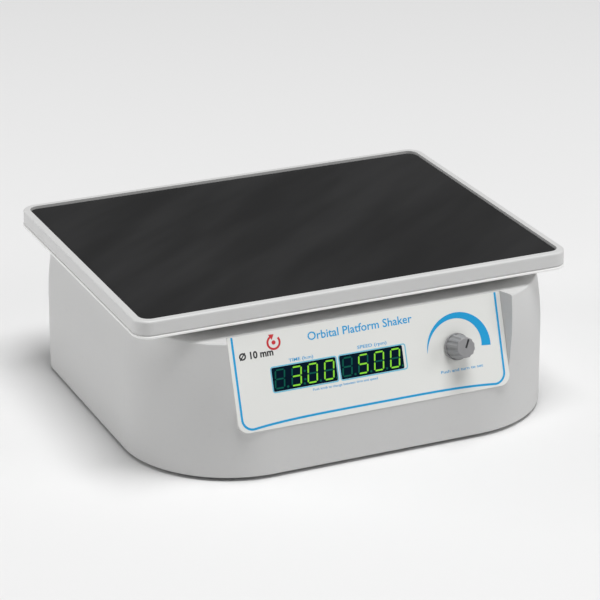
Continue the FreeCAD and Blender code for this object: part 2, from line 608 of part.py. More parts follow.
def platform_base_plate():
    """Plate whose edge shows as a lip under the rim, with a ridge that carries the tray's skirt."""
    z0 = BASE_PLATE_TOP - BASE_PLATE_THICKNESS
    size = (TRAY_SIZE[0] + 2 * BASE_PLATE_LIP, TRAY_SIZE[1] + 2 * BASE_PLATE_LIP)
    plate = centred_slab(PLATFORM_X, PLATFORM_Y, size, z0, BASE_PLATE_TOP, TRAY_CORNER + BASE_PLATE_LIP)
    plate = plate.makeFillet(0.8, [e for e in plate.Edges if e.BoundBox.ZLength < 0.01])
    ridge_outer = (TRAY_SIZE[0] - 2.4, TRAY_SIZE[1] - 2.4)
    ridge_inner = (TRAY_SIZE[0] - 9.0, TRAY_SIZE[1] - 9.0)
    ridge = centred_slab(PLATFORM_X, PLATFORM_Y, ridge_outer, BASE_PLATE_TOP - 1, RIM_BOTTOM,
                         TRAY_CORNER - 1.2)
    middle = centred_slab(PLATFORM_X, PLATFORM_Y, ridge_inner, BASE_PLATE_TOP, RIM_BOTTOM + 1,
                          TRAY_CORNER - 4.5)
    holes = [cylinder(x, y, z0 - 1, BASE_PLATE_TOP + 1, 14.0) for x, y in PLATFORM_PINS]
    holes += [cylinder(x, y, z0 - 1, BASE_PLATE_TOP + 1, 1.5) for x, y in PLATFORM_SCREWS]
    for x, y in PLATFORM_PINS:
        holes += [cylinder(hx, hy, z0 - 1, BASE_PLATE_TOP + 1, 1.2)
                  for hx, hy in around(x, y, 17.0, 3, 90.0)]
    return join([plate, ridge.cut(middle)]).cut(holes)


def bearing_cup(x, y):
    """Flanged cup that holds one platform bearing from below."""
    flange_top = BASE_PLATE_TOP + 1.6
    cup = join([ring(x, y, CUP_BOTTOM, PIN_BEARING + BEARING[2], 14.0, 8.5),
                ring(x, y, BASE_PLATE_TOP, flange_top, 20.5, 8.5)])
    seat = cylinder(x, y, PIN_BEARING, PIN_BEARING + BEARING[2] + 1, BEARING[1] / 2)
    return cup.cut([seat] + [cylinder(hx, hy, 100, 120, 1.2) for hx, hy in around(x, y, 17.0, 3, 90.0)])


def platform_pieces():
    """Platform: tray, base plate, mat, bearing cups and screws."""
    margin = RIM_WIDTH + MAT_CLEARANCE
    mat_size = (TRAY_SIZE[0] - 2 * margin, TRAY_SIZE[1] - 2 * margin)
    mat = centred_slab(PLATFORM_X, PLATFORM_Y, mat_size, MAT_TOP - MAT_THICKNESS, MAT_TOP, MAT_CORNER)
    mat = mat.makeFillet(0.5, [e for e in mat.Edges if e.BoundBox.ZMin > MAT_TOP - 0.01])
    flange_top = BASE_PLATE_TOP + 1.6
    cup_screws = [screw(hx, hy, flange_top, False, 2.2, 1.2, 3.4)
                  for x, y in PLATFORM_PINS for hx, hy in around(x, y, 17.0, 3, 90.0)]
    z0 = BASE_PLATE_TOP - BASE_PLATE_THICKNESS
    return {
        "platform_tray": platform_tray(),
        "platform_base_plate": platform_base_plate(),
        "platform_mat": mat,
        "platform_bearing_cups": group([bearing_cup(x, y) for x, y in PLATFORM_PINS]),
        "platform_bearing_outer_rings": group([bearing_outer(x, y, PIN_BEARING) for x, y in PLATFORM_PINS]),
        "cup_screws": group(cup_screws),
        "platform_screws": group([screw(x, y, z0, True, 2.8, 1.5, 6.6) for x, y in PLATFORM_SCREWS]),
    }


# ---------------------------------------------------------------- control panel

def control_label():
    """Printed overlay with two window openings and a hole for the knob's bush."""
    half = LABEL_SIZE[0] / 2
    top = LABEL_FOOT + LABEL_SIZE[1]
    label = box(-half, half, LABEL_FOOT, top, 0, LABEL_THICKNESS)
    standing = [e for e in label.Edges if e.BoundBox.ZLength > 0.1]
    label = label.makeFillet(LABEL_CORNER, [e for e in standing if e.BoundBox.YMax < top - 1])
    standing = [e for e in label.Edges if e.BoundBox.ZLength > 0.1 and e.BoundBox.YMin > top - 1]
    label = label.makeFillet(1.5, standing)
    holes = []
    for across in (-WINDOW_PITCH, 0.0):
        half_x = WINDOW_SIZE[0] / 2
        half_y = WINDOW_SIZE[1] / 2
        holes.append(rounded_slab(across - half_x, across + half_x, WINDOW_RISE - half_y,
                                  WINDOW_RISE + half_y, -1, 2, 1.2))
    holes.append(cylinder(KNOB_ACROSS, KNOB_RISE, -1, 2, 3.6))
    return on_panel(label.cut(holes))


def control_knob():
    """Tapered, fluted knob on a plain skirt, with a hollow foot that clears the bush and its nut."""
    foot = KNOB_TOP - KNOB_HEIGHT
    body_foot = foot + KNOB_SKIRT[1]
    body_top = KNOB_TOP - KNOB_FACE_CHAMFER
    knob = join([
        Part.makeCone(KNOB_SKIRT[0], KNOB_SKIRT[0] - 0.15, KNOB_SKIRT[1], Vector(0, 0, foot)),
        Part.makeCone(KNOB_BODY[0], KNOB_BODY[1], body_top - body_foot, Vector(0, 0, body_foot)),
        Part.makeCone(KNOB_BODY[1], KNOB_FACE_RADIUS, KNOB_FACE_CHAMFER, Vector(0, 0, body_top)),
    ])
    clear = KNOB_FLUTE_RADIUS - KNOB_FLUTE_DEPTH
    lean = Vector(KNOB_BODY[1] - KNOB_BODY[0], 0, body_top - body_foot)
    flute_foot = Vector(KNOB_BODY[0] + clear, 0, body_foot)
    flute = Part.makeCylinder(KNOB_FLUTE_RADIUS, 2 * lean.Length, flute_foot, lean)
    flutes = [flute.rotated(Vector(0, 0, 0), UP, i * 360 / KNOB_FLUTES) for i in range(KNOB_FLUTES)]
    hollow = [cylinder(0, 0, foot - 1, foot + 4, 7.2), cylinder(0, 0, foot, KNOB_TOP - 1.6, 3.0)]
    knob = knob.cut(flutes).cut(hollow)
    knob.translate(Vector(KNOB_ACROSS, KNOB_RISE, 0))
    return on_panel(knob)


def control_pieces():
    """Label, windows, displays, encoder and knob."""
    half_x = WINDOW_SIZE[0] / 2 - 0.1
    half_y = WINDOW_SIZE[1] / 2 - 0.1
    windows = []
    modules = []
    for across in (-WINDOW_PITCH, 0.0):
        pane = rounded_slab(across - half_x, across + half_x, WINDOW_RISE - half_y, WINDOW_RISE + half_y,
                            -2.0, LABEL_THICKNESS - 0.1, 1.1)
        windows.append(on_panel(pane))
        module = box(across - 25.1, across + 25.1, WINDOW_RISE - 9.5, WINDOW_RISE + 9.5, -10, -2.1)
        modules.append(on_panel(module))
    board = box(-94, 44, 10, 58, -11.6, -10)
    bush = ring(KNOB_ACROSS, KNOB_RISE, -4, LABEL_THICKNESS + 3.0, 3.5, 3.0 + RUN_FIT)
    case = box(KNOB_ACROSS - 6.5, KNOB_ACROSS + 6.5, KNOB_RISE - 6.5, KNOB_RISE + 6.5, -10, -3)
    case = case.cut([cylinder(KNOB_ACROSS, KNOB_RISE, -9, -4, 4.4),
                     cylinder(KNOB_ACROSS, KNOB_RISE, -5, 0, 3.4)])
    nut = Part.Face(Part.makePolygon([Vector(x, y, 0) for x, y in around(KNOB_ACROSS, KNOB_RISE, 5.4, 6)] +
                                     [Vector(KNOB_ACROSS + 5.4, KNOB_RISE, 0)]))
    nut = nut.extrude(Vector(0, 0, 1.8)).cut(cylinder(KNOB_ACROSS, KNOB_RISE, -1, 3, 3.5))
    shaft = join([cylinder(KNOB_ACROSS, KNOB_RISE, -6.5, KNOB_TOP - 1.6, 3.0),
                  cylinder(KNOB_ACROSS, KNOB_RISE, -6.5, -5.0, 4.0)])
    return {
        "control_label": control_label(),
        "display_windows": group(windows),
        "time_display": modules[0],
        "speed_display": modules[1],
        "display_board": on_panel(board),
        "encoder_case": on_panel(join([case, bush])),
        "encoder_nut": on_panel(nut, LABEL_THICKNESS),
        "encoder_push_plunger": panel_tube(KNOB_ACROSS, KNOB_RISE, -8.2, -6.5, 2.5),
        "encoder_shaft": on_panel(shaft),
        "control_knob": control_knob(),
    }


# ---------------------------------------------------------------- mains inlet and switch

SOCKET_Z = FITTING_HEIGHT + 5.0
DRAWER_Z = FITTING_HEIGHT - 10.2
SOCKET_SIZE = (24.4, 16.4)
SOCKET_DEPTH = 16.0
DRAWER_SIZE = (22.0, 8.0)
BLADE_END_Y = REAR_SEAT_Y - 28
BLADES = ((-7.0, -2.0), (7.0, -2.0), (0.0, 3.2))
ROCKER_PIVOT = (REAR_SEAT_Y - 3.2, FITTING_HEIGHT)


def inlet_pieces():
    """Flanged mains inlet with three blades and a fuse drawer below them."""
    flange_y = REAR_SEAT_Y + 2.0
    flange = upright_slot(INLET_X, FITTING_HEIGHT, (31.0, 37.0), REAR_SEAT_Y, flange_y, 2.5)
    body = join([flange, rear_block(INLET_X, FITTING_HEIGHT, INLET_SIZE, REAR_SEAT_Y - 22, REAR_SEAT_Y)])
    socket = upright_slot(INLET_X, SOCKET_Z, SOCKET_SIZE, flange_y - SOCKET_DEPTH, flange_y + 1, 3.0)
    loose = (DRAWER_SIZE[0] + 0.4, DRAWER_SIZE[1] + 0.4)
    drawer_slot = rear_block(INLET_X, DRAWER_Z, loose, flange_y - 14, flange_y + 1)
    blades = []
    for across, lift in BLADES:
        blades.append(rear_block(INLET_X + across, SOCKET_Z + lift, (2.0, 4.0), BLADE_END_Y, flange_y - 3))
    body = body.cut([socket, drawer_slot] + blades)
    drawer = join([rear_block(INLET_X, DRAWER_Z, DRAWER_SIZE, flange_y - 13, flange_y - 0.2),
                   rear_block(INLET_X, DRAWER_Z, (8.0, 1.6), flange_y - 1, flange_y)])
    return body, drawer, blades


def switch_pieces():
    """Snap-in power switch: a frame and a rocker on its own short axle."""
    pivot_y, pivot_z = ROCKER_PIVOT
    flange = upright_slot(SWITCH_X, FITTING_HEIGHT, (15.4, 22.0), REAR_SEAT_Y, REAR_SEAT_Y + 1.6, 1.5)
    frame = join([flange, rear_block(SWITCH_X, FITTING_HEIGHT, SWITCH_SIZE, REAR_SEAT_Y - 15, REAR_SEAT_Y)])
    hollow = rear_block(SWITCH_X, FITTING_HEIGHT, (10.6, 17.4), REAR_SEAT_Y - 12, REAR_SEAT_Y + 5)
    axle = Part.makeCylinder(1.2, 12.2, Vector(SWITCH_X - 6.1, pivot_y, pivot_z), ALONG_X)
    axle_hole = Part.makeCylinder(1.2 + RUN_FIT, 12.6, Vector(SWITCH_X - 6.3, pivot_y, pivot_z), ALONG_X)
    frame = frame.cut([hollow, axle_hole])
    top = pivot_y + 4.2
    lobes = [Vector(SWITCH_X - 5, top + 1.3, pivot_z + 7.6), Vector(SWITCH_X - 5, top - 0.2, pivot_z),
             Vector(SWITCH_X - 5, top + 1.3, pivot_z - 7.6), Vector(SWITCH_X - 5, pivot_y, pivot_z - 7.6),
             Vector(SWITCH_X - 5, pivot_y - 4.5, pivot_z - 3),
             Vector(SWITCH_X - 5, pivot_y - 4.5, pivot_z + 3),
             Vector(SWITCH_X - 5, pivot_y, pivot_z + 7.6)]
    rocker = Part.Face(Part.makePolygon(lobes + lobes[:1])).extrude(Vector(10, 0, 0))
    rocker = join([rocker, axle])
    rocker.rotate(Vector(SWITCH_X, pivot_y, pivot_z), ALONG_X, -ROCKER_TILT)
    tabs = [rear_block(SWITCH_X, FITTING_HEIGHT + lift, (0.8, 4.8), REAR_SEAT_Y - 23, REAR_SEAT_Y - 14)
            for lift in (-5.5, 5.5)]
    return frame.cut(tabs), rocker, tabs


def rear_pieces():
    """Everything on the rear seat; the metal blades and tabs share one node."""
    inlet, drawer, blades = inlet_pieces()
    frame, rocker, tabs = switch_pieces()
    return {
        "mains_inlet": inlet,
        "fuse_drawer": drawer,
        "power_switch_frame": frame,
        "power_rocker": rocker,
        "mains_terminals": group(blades + tabs),
    }


# ---------------------------------------------------------------- electrics

def board_set(x0, x1, y0, y1, sites):
    """Circuit board on four posts, with its parts as separate blocks or cans standing on it."""
    low, high = BOARD_LEVEL
    board = rounded_slab(x0, x1, y0, y1, low, high, 2.0)
    posts = [cylinder(x, y, PLATE_LEVEL[1], low, 3.0) for x in (x0 + 5, x1 - 5) for y in (y0 + 5, y1 - 5)]
    standing = []
    for x, y, width, depth, height in sites:
        if depth:
            standing.append(box(x - width / 2, x + width / 2, y - depth / 2, y + depth / 2,
                                high, high + height))
        else:
            standing.append(cylinder(x, y, high, high + height, width / 2))
    return board, posts, standing


def mains_leads(level):
    """Two leads from the inlet's blades down to the power supply."""
    y = BLADE_END_Y
    z = SOCKET_Z + BLADES[0][1]
    leads = []
    for x in (INLET_X + BLADES[0][0], INLET_X + BLADES[1][0]):
        leads.append(wire_tube([(x, y, z), (x, y - 9, z), (x, y - 9, level)], 1.3))
    return leads


def motor_leads(level):
    """Three leads from the power supply up through the chassis plate to the side of the motor."""
    leads = []
    for i in range(3):
        x = AXIS_X + 88.0 + 2.4 * i
        end_x = x - 4
        end_y = AXIS_Y + math.sqrt(MOTOR_RADIUS ** 2 - (end_x - MOTOR_X) ** 2)
        route = [(x, 66, level), (x, 66, 40), (x - 10, 68, 60), (x - 10, 64, 80), (end_x, end_y, 84)]
        leads.append(wire_tube(route, 0.9))
    return leads


def display_leads(level):
    """Four leads from the back of the display board to the control board."""
    rise = 20.0
    depth = 11.6
    y = FRONT_Y + rise * TILT_SIN + depth * TILT_COS
    z = PANEL_FOOT + rise * TILT_COS - depth * TILT_SIN
    leads = []
    for i in range(4):
        x = AXIS_X - 92.0 + 1.9 * i
        behind = (x, y + 12 * TILT_COS, z - 12 * TILT_SIN)
        route = [(x, y, z), behind, (x, -84, 34), (x, -56, 32), (x, -56, level)]
        leads.append(wire_tube(route, 0.8))
    return leads


def electric_pieces():
    """Control board, power supply, all board posts and the leads between them."""
    left = AXIS_X - 142.0
    right = AXIS_X + 86.0
    control_sites = [(left + 16, -40.0, 18.0, 14.0, 15.0), (left + 36, -38.0, 14.0, 14.0, 12.0),
                     (left + 20, -8.0, 24.0, 24.0, 3.0), (left + 44, 14.0, 12.5, 0.0, 20.0),
                     (left + 44, 32.0, 12.5, 0.0, 20.0), (left + 18, 34.0, 20.0, 30.0, 24.0)]
    supply_sites = [(right + 28, 74.0, 38.0, 32.0, 28.0), (right + 12, 28.0, 16.0, 0.0, 18.0),
                    (right + 36, 26.0, 26.0, 8.0, 16.0), (right + 14, 46.0, 12.0, 12.0, 10.0)]
    control, control_posts, control_parts = board_set(left, left + 56, -60.0, 60.0, control_sites)
    supply, supply_posts, supply_parts = board_set(right, right + 56, 12.0, 96.0, supply_sites)
    display_posts = [panel_tube(x, y, -10, -WALL, 3.0) for x in (-88.0, 38.0) for y in (14.0, 54.0)]
    level = BOARD_LEVEL[1]
    return {
        "control_board": control,
        "control_board_parts": group(control_parts),
        "power_supply_board": supply,
        "power_supply_parts": group(supply_parts),
        "board_posts": group(control_posts + supply_posts + display_posts),
        "internal_wires": group(mains_leads(level) + motor_leads(level) + display_leads(level)),
    }


# ---------------------------------------------------------------- all pieces

def main():
    """Builds every piece and writes one STEP file for each."""
    pieces = {"housing_shell": housing_shell()}
    for made in (base_pieces, chassis_pieces, drive_pieces, motor_pieces, platform_pieces, control_pieces,
                 rear_pieces, electric_pieces):
        pieces.update(made())
    os.makedirs("parts", exist_ok=True)
    for name, shape in pieces.items():
        shape.exportStep("parts/" + name + ".step")
        state = "closed" if all(s.isValid() and s.isClosed() for s in shape.Solids) else "NOT VALID"
        print(f"{name}: {len(shape.Solids)} solids, {shape.Volume / 1000:.2f} cm3, {state}")


main()
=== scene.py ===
"""Looks of a benchtop orbital shaker, worked on top of its CAD model.

The CAD model gives every part its size and place. This file gives each part its finish and adds what
is printed on the control panel, the seven-segment digits, the knob's line and the studio around it.
Lengths are metres in the CAD frame (+Z up, the panel facing -Y), and millimetres in the panel's own
plane: across to the right of its middle, rise up its slope from its foot, and lift outwards from it.
"""

import math

import bmesh
import bpy
import numpy as np
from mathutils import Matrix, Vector


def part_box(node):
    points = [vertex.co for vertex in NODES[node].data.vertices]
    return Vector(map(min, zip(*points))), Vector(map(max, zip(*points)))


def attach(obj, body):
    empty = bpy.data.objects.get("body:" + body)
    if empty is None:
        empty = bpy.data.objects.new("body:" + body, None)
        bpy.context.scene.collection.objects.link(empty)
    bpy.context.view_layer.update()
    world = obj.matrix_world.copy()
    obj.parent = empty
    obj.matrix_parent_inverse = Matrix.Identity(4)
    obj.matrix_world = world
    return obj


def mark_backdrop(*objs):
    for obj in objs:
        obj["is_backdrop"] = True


bl_info = {
    "name": "Orbital shaker looks",
    "version": (1, 0, 0),
    "blender": (4, 5, 0),
    "location": "3D View > Sidebar > Shaker",
    "description": "Finishes, panel print, displays and studio for a benchtop orbital shaker",
    "category": "Object",
}

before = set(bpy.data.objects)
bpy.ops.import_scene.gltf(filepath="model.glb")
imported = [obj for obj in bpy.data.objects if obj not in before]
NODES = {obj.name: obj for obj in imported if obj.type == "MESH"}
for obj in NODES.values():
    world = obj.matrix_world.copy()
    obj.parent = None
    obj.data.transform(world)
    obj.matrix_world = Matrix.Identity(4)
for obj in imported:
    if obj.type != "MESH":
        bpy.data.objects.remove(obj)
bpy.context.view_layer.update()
MM = 0.001

# ---------------------------------------------------------------- the panel's own plane

PANEL_TILT = math.radians(18.5)     # how far the panel leans back from upright
LABEL_FOOT = 0.7                    # the label's lower edge above the panel's
LABEL_THICKNESS = 0.4
INK_HALF = 0.02                     # half the thickness of a printed mark or a segment
INK_TOP = LABEL_THICKNESS + 2 * INK_HALF
PANEL_RIGHT = np.array([1.0, 0.0, 0.0])
PANEL_UP = np.array([0.0, math.sin(PANEL_TILT), math.cos(PANEL_TILT)])
PANEL_OUT = np.array([0.0, -math.cos(PANEL_TILT), math.sin(PANEL_TILT)])


def panel_foot():
    """Lowest middle point of the panel: the label's box less the label's own foot and thickness."""
    low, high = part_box("control_label")
    y = low.y + (LABEL_THICKNESS * math.cos(PANEL_TILT) - LABEL_FOOT * math.sin(PANEL_TILT)) * MM
    z = low.z - LABEL_FOOT * math.cos(PANEL_TILT) * MM
    return np.array([(low.x + high.x) / 2, y, z])


PANEL_FOOT = panel_foot()


def on_panel(across, rise, lift):
    """Panel millimetres to metres: foot + across * right + rise * up + lift * outwards."""
    across, rise, lift = np.broadcast_arrays(across, rise, lift)
    place = across[..., None] * PANEL_RIGHT + rise[..., None] * PANEL_UP + lift[..., None] * PANEL_OUT
    return PANEL_FOOT + place * MM


def panel_top(node):
    """How far a CAD node stands out of the panel's plane, in millimetres."""
    points = np.empty(len(NODES[node].data.vertices) * 3, np.float32)
    NODES[node].data.vertices.foreach_get("co", points)
    return float(((points.reshape(-1, 3) - PANEL_FOOT) @ PANEL_OUT).max()) / MM


def box_middle(node):
    """Middle of a CAD node's box, in metres."""
    low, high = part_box(node)
    return np.array((low + high) / 2)


# ---------------------------------------------------------------- shader maths

class Signal:
    """One output of a shader node. Python's signs work on it, each adding the Math node it stands for."""

    def __init__(self, finish, output):
        self.finish = finish
        self.output = output

    def _math(self, operation, *values):
        return self.finish.add("ShaderNodeMath", {"operation": operation}, dict(enumerate(values)))

    def __add__(self, other):
        return self._math("ADD", self, other)

    __radd__ = __add__

    def __sub__(self, other):
        return self._math("SUBTRACT", self, other)

    def __rsub__(self, other):
        return self._math("SUBTRACT", other, self)

    def __mul__(self, other):
        return self._math("MULTIPLY", self, other)

    __rmul__ = __mul__

    def __gt__(self, other):
        return self._math("GREATER_THAN", self, other)

    def __mod__(self, other):
        return self._math("FLOORED_MODULO", self, other)

    def smooth(self, low, high):
        """0 at low, 1 at high, eased between them."""
        settings = {"interpolation_type": "SMOOTHSTEP"}
        inputs = {"Value": self, "From Min": low, "From Max": high}
        return self.finish.add("ShaderNodeMapRange", settings, inputs)


# a Mix node's colour sockets: its two inputs and its output
MIX_FIRST = 6
MIX_SECOND = 7
MIX_RESULT = 2


class Finish:
    """A procedural material in the making, on Object coordinates in metres."""

    def __init__(self, name):
        self.material = bpy.data.materials.new(name)
        self.material.use_nodes = True
        self.tree = self.material.node_tree
        self.tree.nodes.clear()
        self.place = self.add("ShaderNodeTexCoord", output="Object")

    def add(self, kind, settings=None, inputs=None, output=0):
        """One node of any kind: its settings first, then its sockets' values or links.

        Gives the output asked for, or nothing for a node that has none."""
        node = self.tree.nodes.new(kind)
        for key, value in (settings or {}).items():
            setattr(node, key, value)
        for key, value in (inputs or {}).items():
            if isinstance(value, Signal):
                self.tree.links.new(value.output, node.inputs[key])
            else:
                node.inputs[key].default_value = value
        return Signal(self, node.outputs[output]) if node.outputs else None

    def noise(self, size, detail=2.0, stretch=(1.0, 1.0, 1.0), turn=0.0):
        """Cloudy pattern from 0 to 1, in lumps of about size metres.

        The stretch draws them out along each axis, after the turn about Z."""
        place = self.place
        if turn or stretch != (1.0, 1.0, 1.0):
            rotation = {"Vector": place, "Angle": turn}
            turned = self.add("ShaderNodeVectorRotate", {"rotation_type": "Z_AXIS"}, rotation)
            thin = tuple(1 / share for share in stretch)
            place = self.add("ShaderNodeVectorMath", {"operation": "MULTIPLY"}, {0: turned, 1: thin})
        inputs = {"Vector": place, "Scale": 1 / size, "Detail": detail}
        return self.add("ShaderNodeTexNoise", None, inputs)

    def cells(self, size):
        """Distance to the nearest of scattered points about size metres apart."""
        return self.add("ShaderNodeTexVoronoi", None, {"Vector": self.place, "Scale": 1 / size})

    def axis(self, letter):
        """One Object coordinate in metres."""
        return self.add("ShaderNodeSeparateXYZ", None, {"Vector": self.place}, letter)

    def blend(self, factor, first, second):
        """Colour that goes from first to second with the factor."""
        inputs = {"Factor": factor, MIX_FIRST: first, MIX_SECOND: second}
        return self.add("ShaderNodeMix", {"data_type": "RGBA"}, inputs, output=MIX_RESULT)

    def close(self, colour, roughness, height=None, depth=0.0, **others):
        """Ends in a Principled surface, bumped by the height times the depth in metres.

        The others are more of its sockets, with _ for a space in their names."""
        inputs = {"Base Color": colour, "Roughness": roughness}
        inputs.update({name.replace("_", " "): value for name, value in others.items()})
        if height is not None:
            bump = {"Height": height, "Distance": depth, "Strength": 1.0}
            inputs["Normal"] = self.add("ShaderNodeBump", None, bump)
        surface = self.add("ShaderNodeBsdfPrincipled", None, inputs)
        self.add("ShaderNodeOutputMaterial", None, {"Surface": surface})
        return self.material


def shade(colour, factor):
    """RGBA of a colour, made lighter or darker by the factor."""
    return tuple(min(1.0, channel * factor) for channel in colour[:3]) + (1.0,)


# ---------------------------------------------------------------- finishes

def moulded_shell(colour):
    """Light moulded plastic with a fine satin grain and faint cloudiness from the mould."""
    f = Finish("moulded_shell")
    cloud = f.noise(0.09, 3.0)
    grain = f.noise(0.0006, 2.0)
    dust = f.noise(0.004, 4.0).smooth(0.55, 0.75)
    base = f.blend(cloud, shade(colour, 0.975), shade(colour, 1.025))
    base = f.blend(dust * 0.08, base, shade(colour, 0.80))
    rough = 0.42 + cloud * 0.08 + grain * 0.06
    return f.close(base, rough, grain, 0.00002, Specular_IOR_Level=0.45)


def powder_coat(name, colour):
    """Baked powder coat: light, slightly glossy, with a soft orange-peel surface."""
    f = Finish(name)
    peel = f.noise(0.0016, 2.0)
    cloud = f.noise(0.06, 2.0)
    speck = 1 - f.cells(0.003).smooth(0.04, 0.10)
    base = f.blend(cloud, shade(colour, 0.98), shade(colour, 1.02))
    base = f.blend(speck * 0.10, base, shade(colour, 0.75))
    rough = 0.30 + peel * 0.10 + cloud * 0.05
    return f.close(base, rough, peel, 0.00004)


def rubber_sheet(colour):
    """Black rubber mat with a fine matt grain and long soft diagonal streaks, lighter and darker, painted
    in as reflections.
    """
    f = Finish("rubber_sheet")
    # painted reflections: long diagonal streaks that lighten and darken the rubber's colour
    painted_reflection_streak = f.noise(0.05, 3.0, (4.5, 1.0, 1.0), math.radians(-38)).smooth(0.30, 0.70)
    grain = f.noise(0.0007, 3.0)
    pores = f.cells(0.0011).smooth(0.05, 0.30)
    base = f.blend(painted_reflection_streak, shade(colour, 0.76), shade(colour, 1.32))
    base = f.blend(grain * 0.25, base, shade(colour, 1.35))
    rough = 0.56 + painted_reflection_streak * 0.12 + grain * 0.10
    return f.close(base, rough, grain * 0.6 + pores * 0.4, 0.00004, Specular_IOR_Level=0.15)


def printed_film(colour):
    """Polyester overlay: off-white with a very fine velvet texture."""
    f = Finish("printed_film")
    velvet = f.noise(0.0004, 2.0)
    cloud = f.noise(0.05, 2.0)
    base = f.blend(cloud, shade(colour, 0.985), shade(colour, 1.01))
    return f.close(base, 0.34 + velvet * 0.12, velvet, 0.00001)


def ink(name, colour):
    """Screen-printed ink: flat and even, with the faint mottle of its mesh."""
    f = Finish(name)
    mottle = f.noise(0.0008, 2.0)
    base = f.blend(mottle, shade(colour, 0.94), shade(colour, 1.05))
    return f.close(base, 0.36 + mottle * 0.10, mottle, 0.000004)


def tinted_window(colour):
    """Dark tinted filter with a polished face."""
    f = Finish("tinted_window")
    cloud = f.noise(0.02, 2.0)
    base = f.blend(cloud, shade(colour, 0.8), shade(colour, 1.25))
    return f.close(base, 0.16 + cloud * 0.05, Specular_IOR_Level=0.2)


def lamp(name, colour, strength):
    """A display segment: dull resin that glows in its own colour, a little brighter over its dies. A
    segment that is on is a lamp; the glow of a segment that is off is painted light.
    """
    f = Finish(name)
    dies = f.noise(0.0015, 1.0)
    light = f.blend(dies, shade(colour, 0.86), shade(colour, 1.10))
    resin = f.blend(dies, shade(colour, 0.45), shade(colour, 0.55))
    return f.close(resin, 0.35 + dies * 0.05, Emission_Color=light, Emission_Strength=strength,
                   Specular_IOR_Level=0.1)


def knob_plastic(colour):
    """Mid-grey moulded knob, lighter in a fine grain and in faint streaks drawn out along Z."""
    f = Finish("knob_plastic")
    grain = f.noise(0.0005, 3.0)
    lighter_streaks = f.noise(0.004, 3.0, stretch=(1.0, 1.0, 4.0))
    base = f.blend(lighter_streaks, shade(colour, 0.90), shade(colour, 1.12))
    base = f.blend(grain * 0.25, base, shade(colour, 1.4))
    return f.close(base, 0.36 + lighter_streaks * 0.16, grain, 0.00003)


def black_moulding(colour):
    """Black glass-filled plastic with a spark-eroded grain."""
    f = Finish("black_moulding")
    grain = f.noise(0.0007, 3.0)
    cloud = f.noise(0.012, 2.0)
    base = f.blend(cloud, shade(colour, 0.8), shade(colour, 1.5))
    return f.close(base, 0.38 + grain * 0.18, grain, 0.00003)


def soft_rubber(name, colour):
    """Dull rubber of a foot or belt, greyed by bloom in patches."""
    f = Finish(name)
    bloom = f.noise(0.006, 4.0).smooth(0.45, 0.75)
    grain = f.noise(0.0009, 2.0)
    base = f.blend(bloom * 0.35, shade(colour, 1.0), shade(colour, 2.4))
    return f.close(base, 0.68 + grain * 0.18, grain, 0.00005)


def turned_metal(name, colour, roughness, line=0.0004):
    """Bare metal with fine tool lines round the vertical axis and a patchy shine."""
    f = Finish(name)
    lines = f.noise(line, 2.0, stretch=(14.0, 14.0, 1.0))
    cloud = f.noise(0.012, 3.0)
    base = f.blend(cloud, shade(colour, 0.86), shade(colour, 1.08))
    rough = roughness + lines * 0.16 + cloud * 0.10
    return f.close(base, rough, lines, 0.00001, Metallic=1.0)


def zinc_plate(colour):
    """Zinc-plated sheet: large pale spangles under a dull shine."""
    f = Finish("zinc_plate")
    spangle = f.cells(0.009)
    fine = f.noise(0.0012, 3.0)
    base = f.blend(spangle.smooth(0.0, 0.9), shade(colour, 0.82), shade(colour, 1.12))
    return f.close(base, 0.34 + fine * 0.2, fine, 0.00001, Metallic=1.0)


def lacquered_steel(colour):
    """Motor can in black stove enamel, with a soft peel."""
    f = Finish("lacquered_steel")
    peel = f.noise(0.0022, 2.0)
    base = f.blend(peel, shade(colour, 0.85), shade(colour, 1.25))
    return f.close(base, 0.28 + peel * 0.14, peel, 0.00003, Coat_Weight=0.2)


def circuit_laminate(colour):
    """Green solder mask over copper, brighter over the tracks beneath.

    Both coordinates jump by half a pitch between patches. A track lies where the remainder of X over the
    pitch is past 0.55 of it, and the remainder of Y over four pitches is past one."""
    f = Finish("circuit_laminate")
    pitch = 0.0036
    steps = f.noise(0.02, 1.0).smooth(0.48, 0.52) * (pitch / 2)
    lanes = (f.axis("X") + steps) % pitch > pitch * 0.55
    tracks = lanes * ((f.axis("Y") + steps) % (pitch * 4) > pitch)
    weave = f.noise(0.0009, 2.0)
    base = f.blend(tracks, shade(colour, 0.8), shade(colour, 1.7))
    return f.close(base, 0.26 + weave * 0.12, tracks * 0.5 + weave * 0.2, 0.00003)


def part_cases(colour, sleeve):
    """Moulded parts on the boards, with the colour of the cans' sleeves in patches."""
    f = Finish("part_cases")
    patch = f.noise(0.03, 0.0).smooth(0.40, 0.60)
    grain = f.noise(0.0008, 2.0)
    base = f.blend(patch, shade(colour, 1.0), shade(sleeve, 1.0))
    return f.close(base, 0.32 + grain * 0.2, grain, 0.00002)


def lead_sleeves(mains, signal):
    """Insulated leads with a fine grain that lightens them in a painted sheen: mains colour at the back,
    signal colour near the panel.
    """
    f = Finish("lead_sleeves")
    side = f.axis("Y").smooth(-0.02, 0.02)
    drawn_grain_and_painted_sheen = f.noise(0.001, 2.0)
    base = f.blend(side, shade(signal, 1.0), shade(mains, 1.0))
    # painted sheen: where the grain is high, the colour goes toward a pale mains colour
    base = f.blend(drawn_grain_and_painted_sheen * 0.3, base, shade(mains, 1.8))
    return f.close(base, 0.30 + drawn_grain_and_painted_sheen * 0.15, drawn_grain_and_painted_sheen, 0.00001)


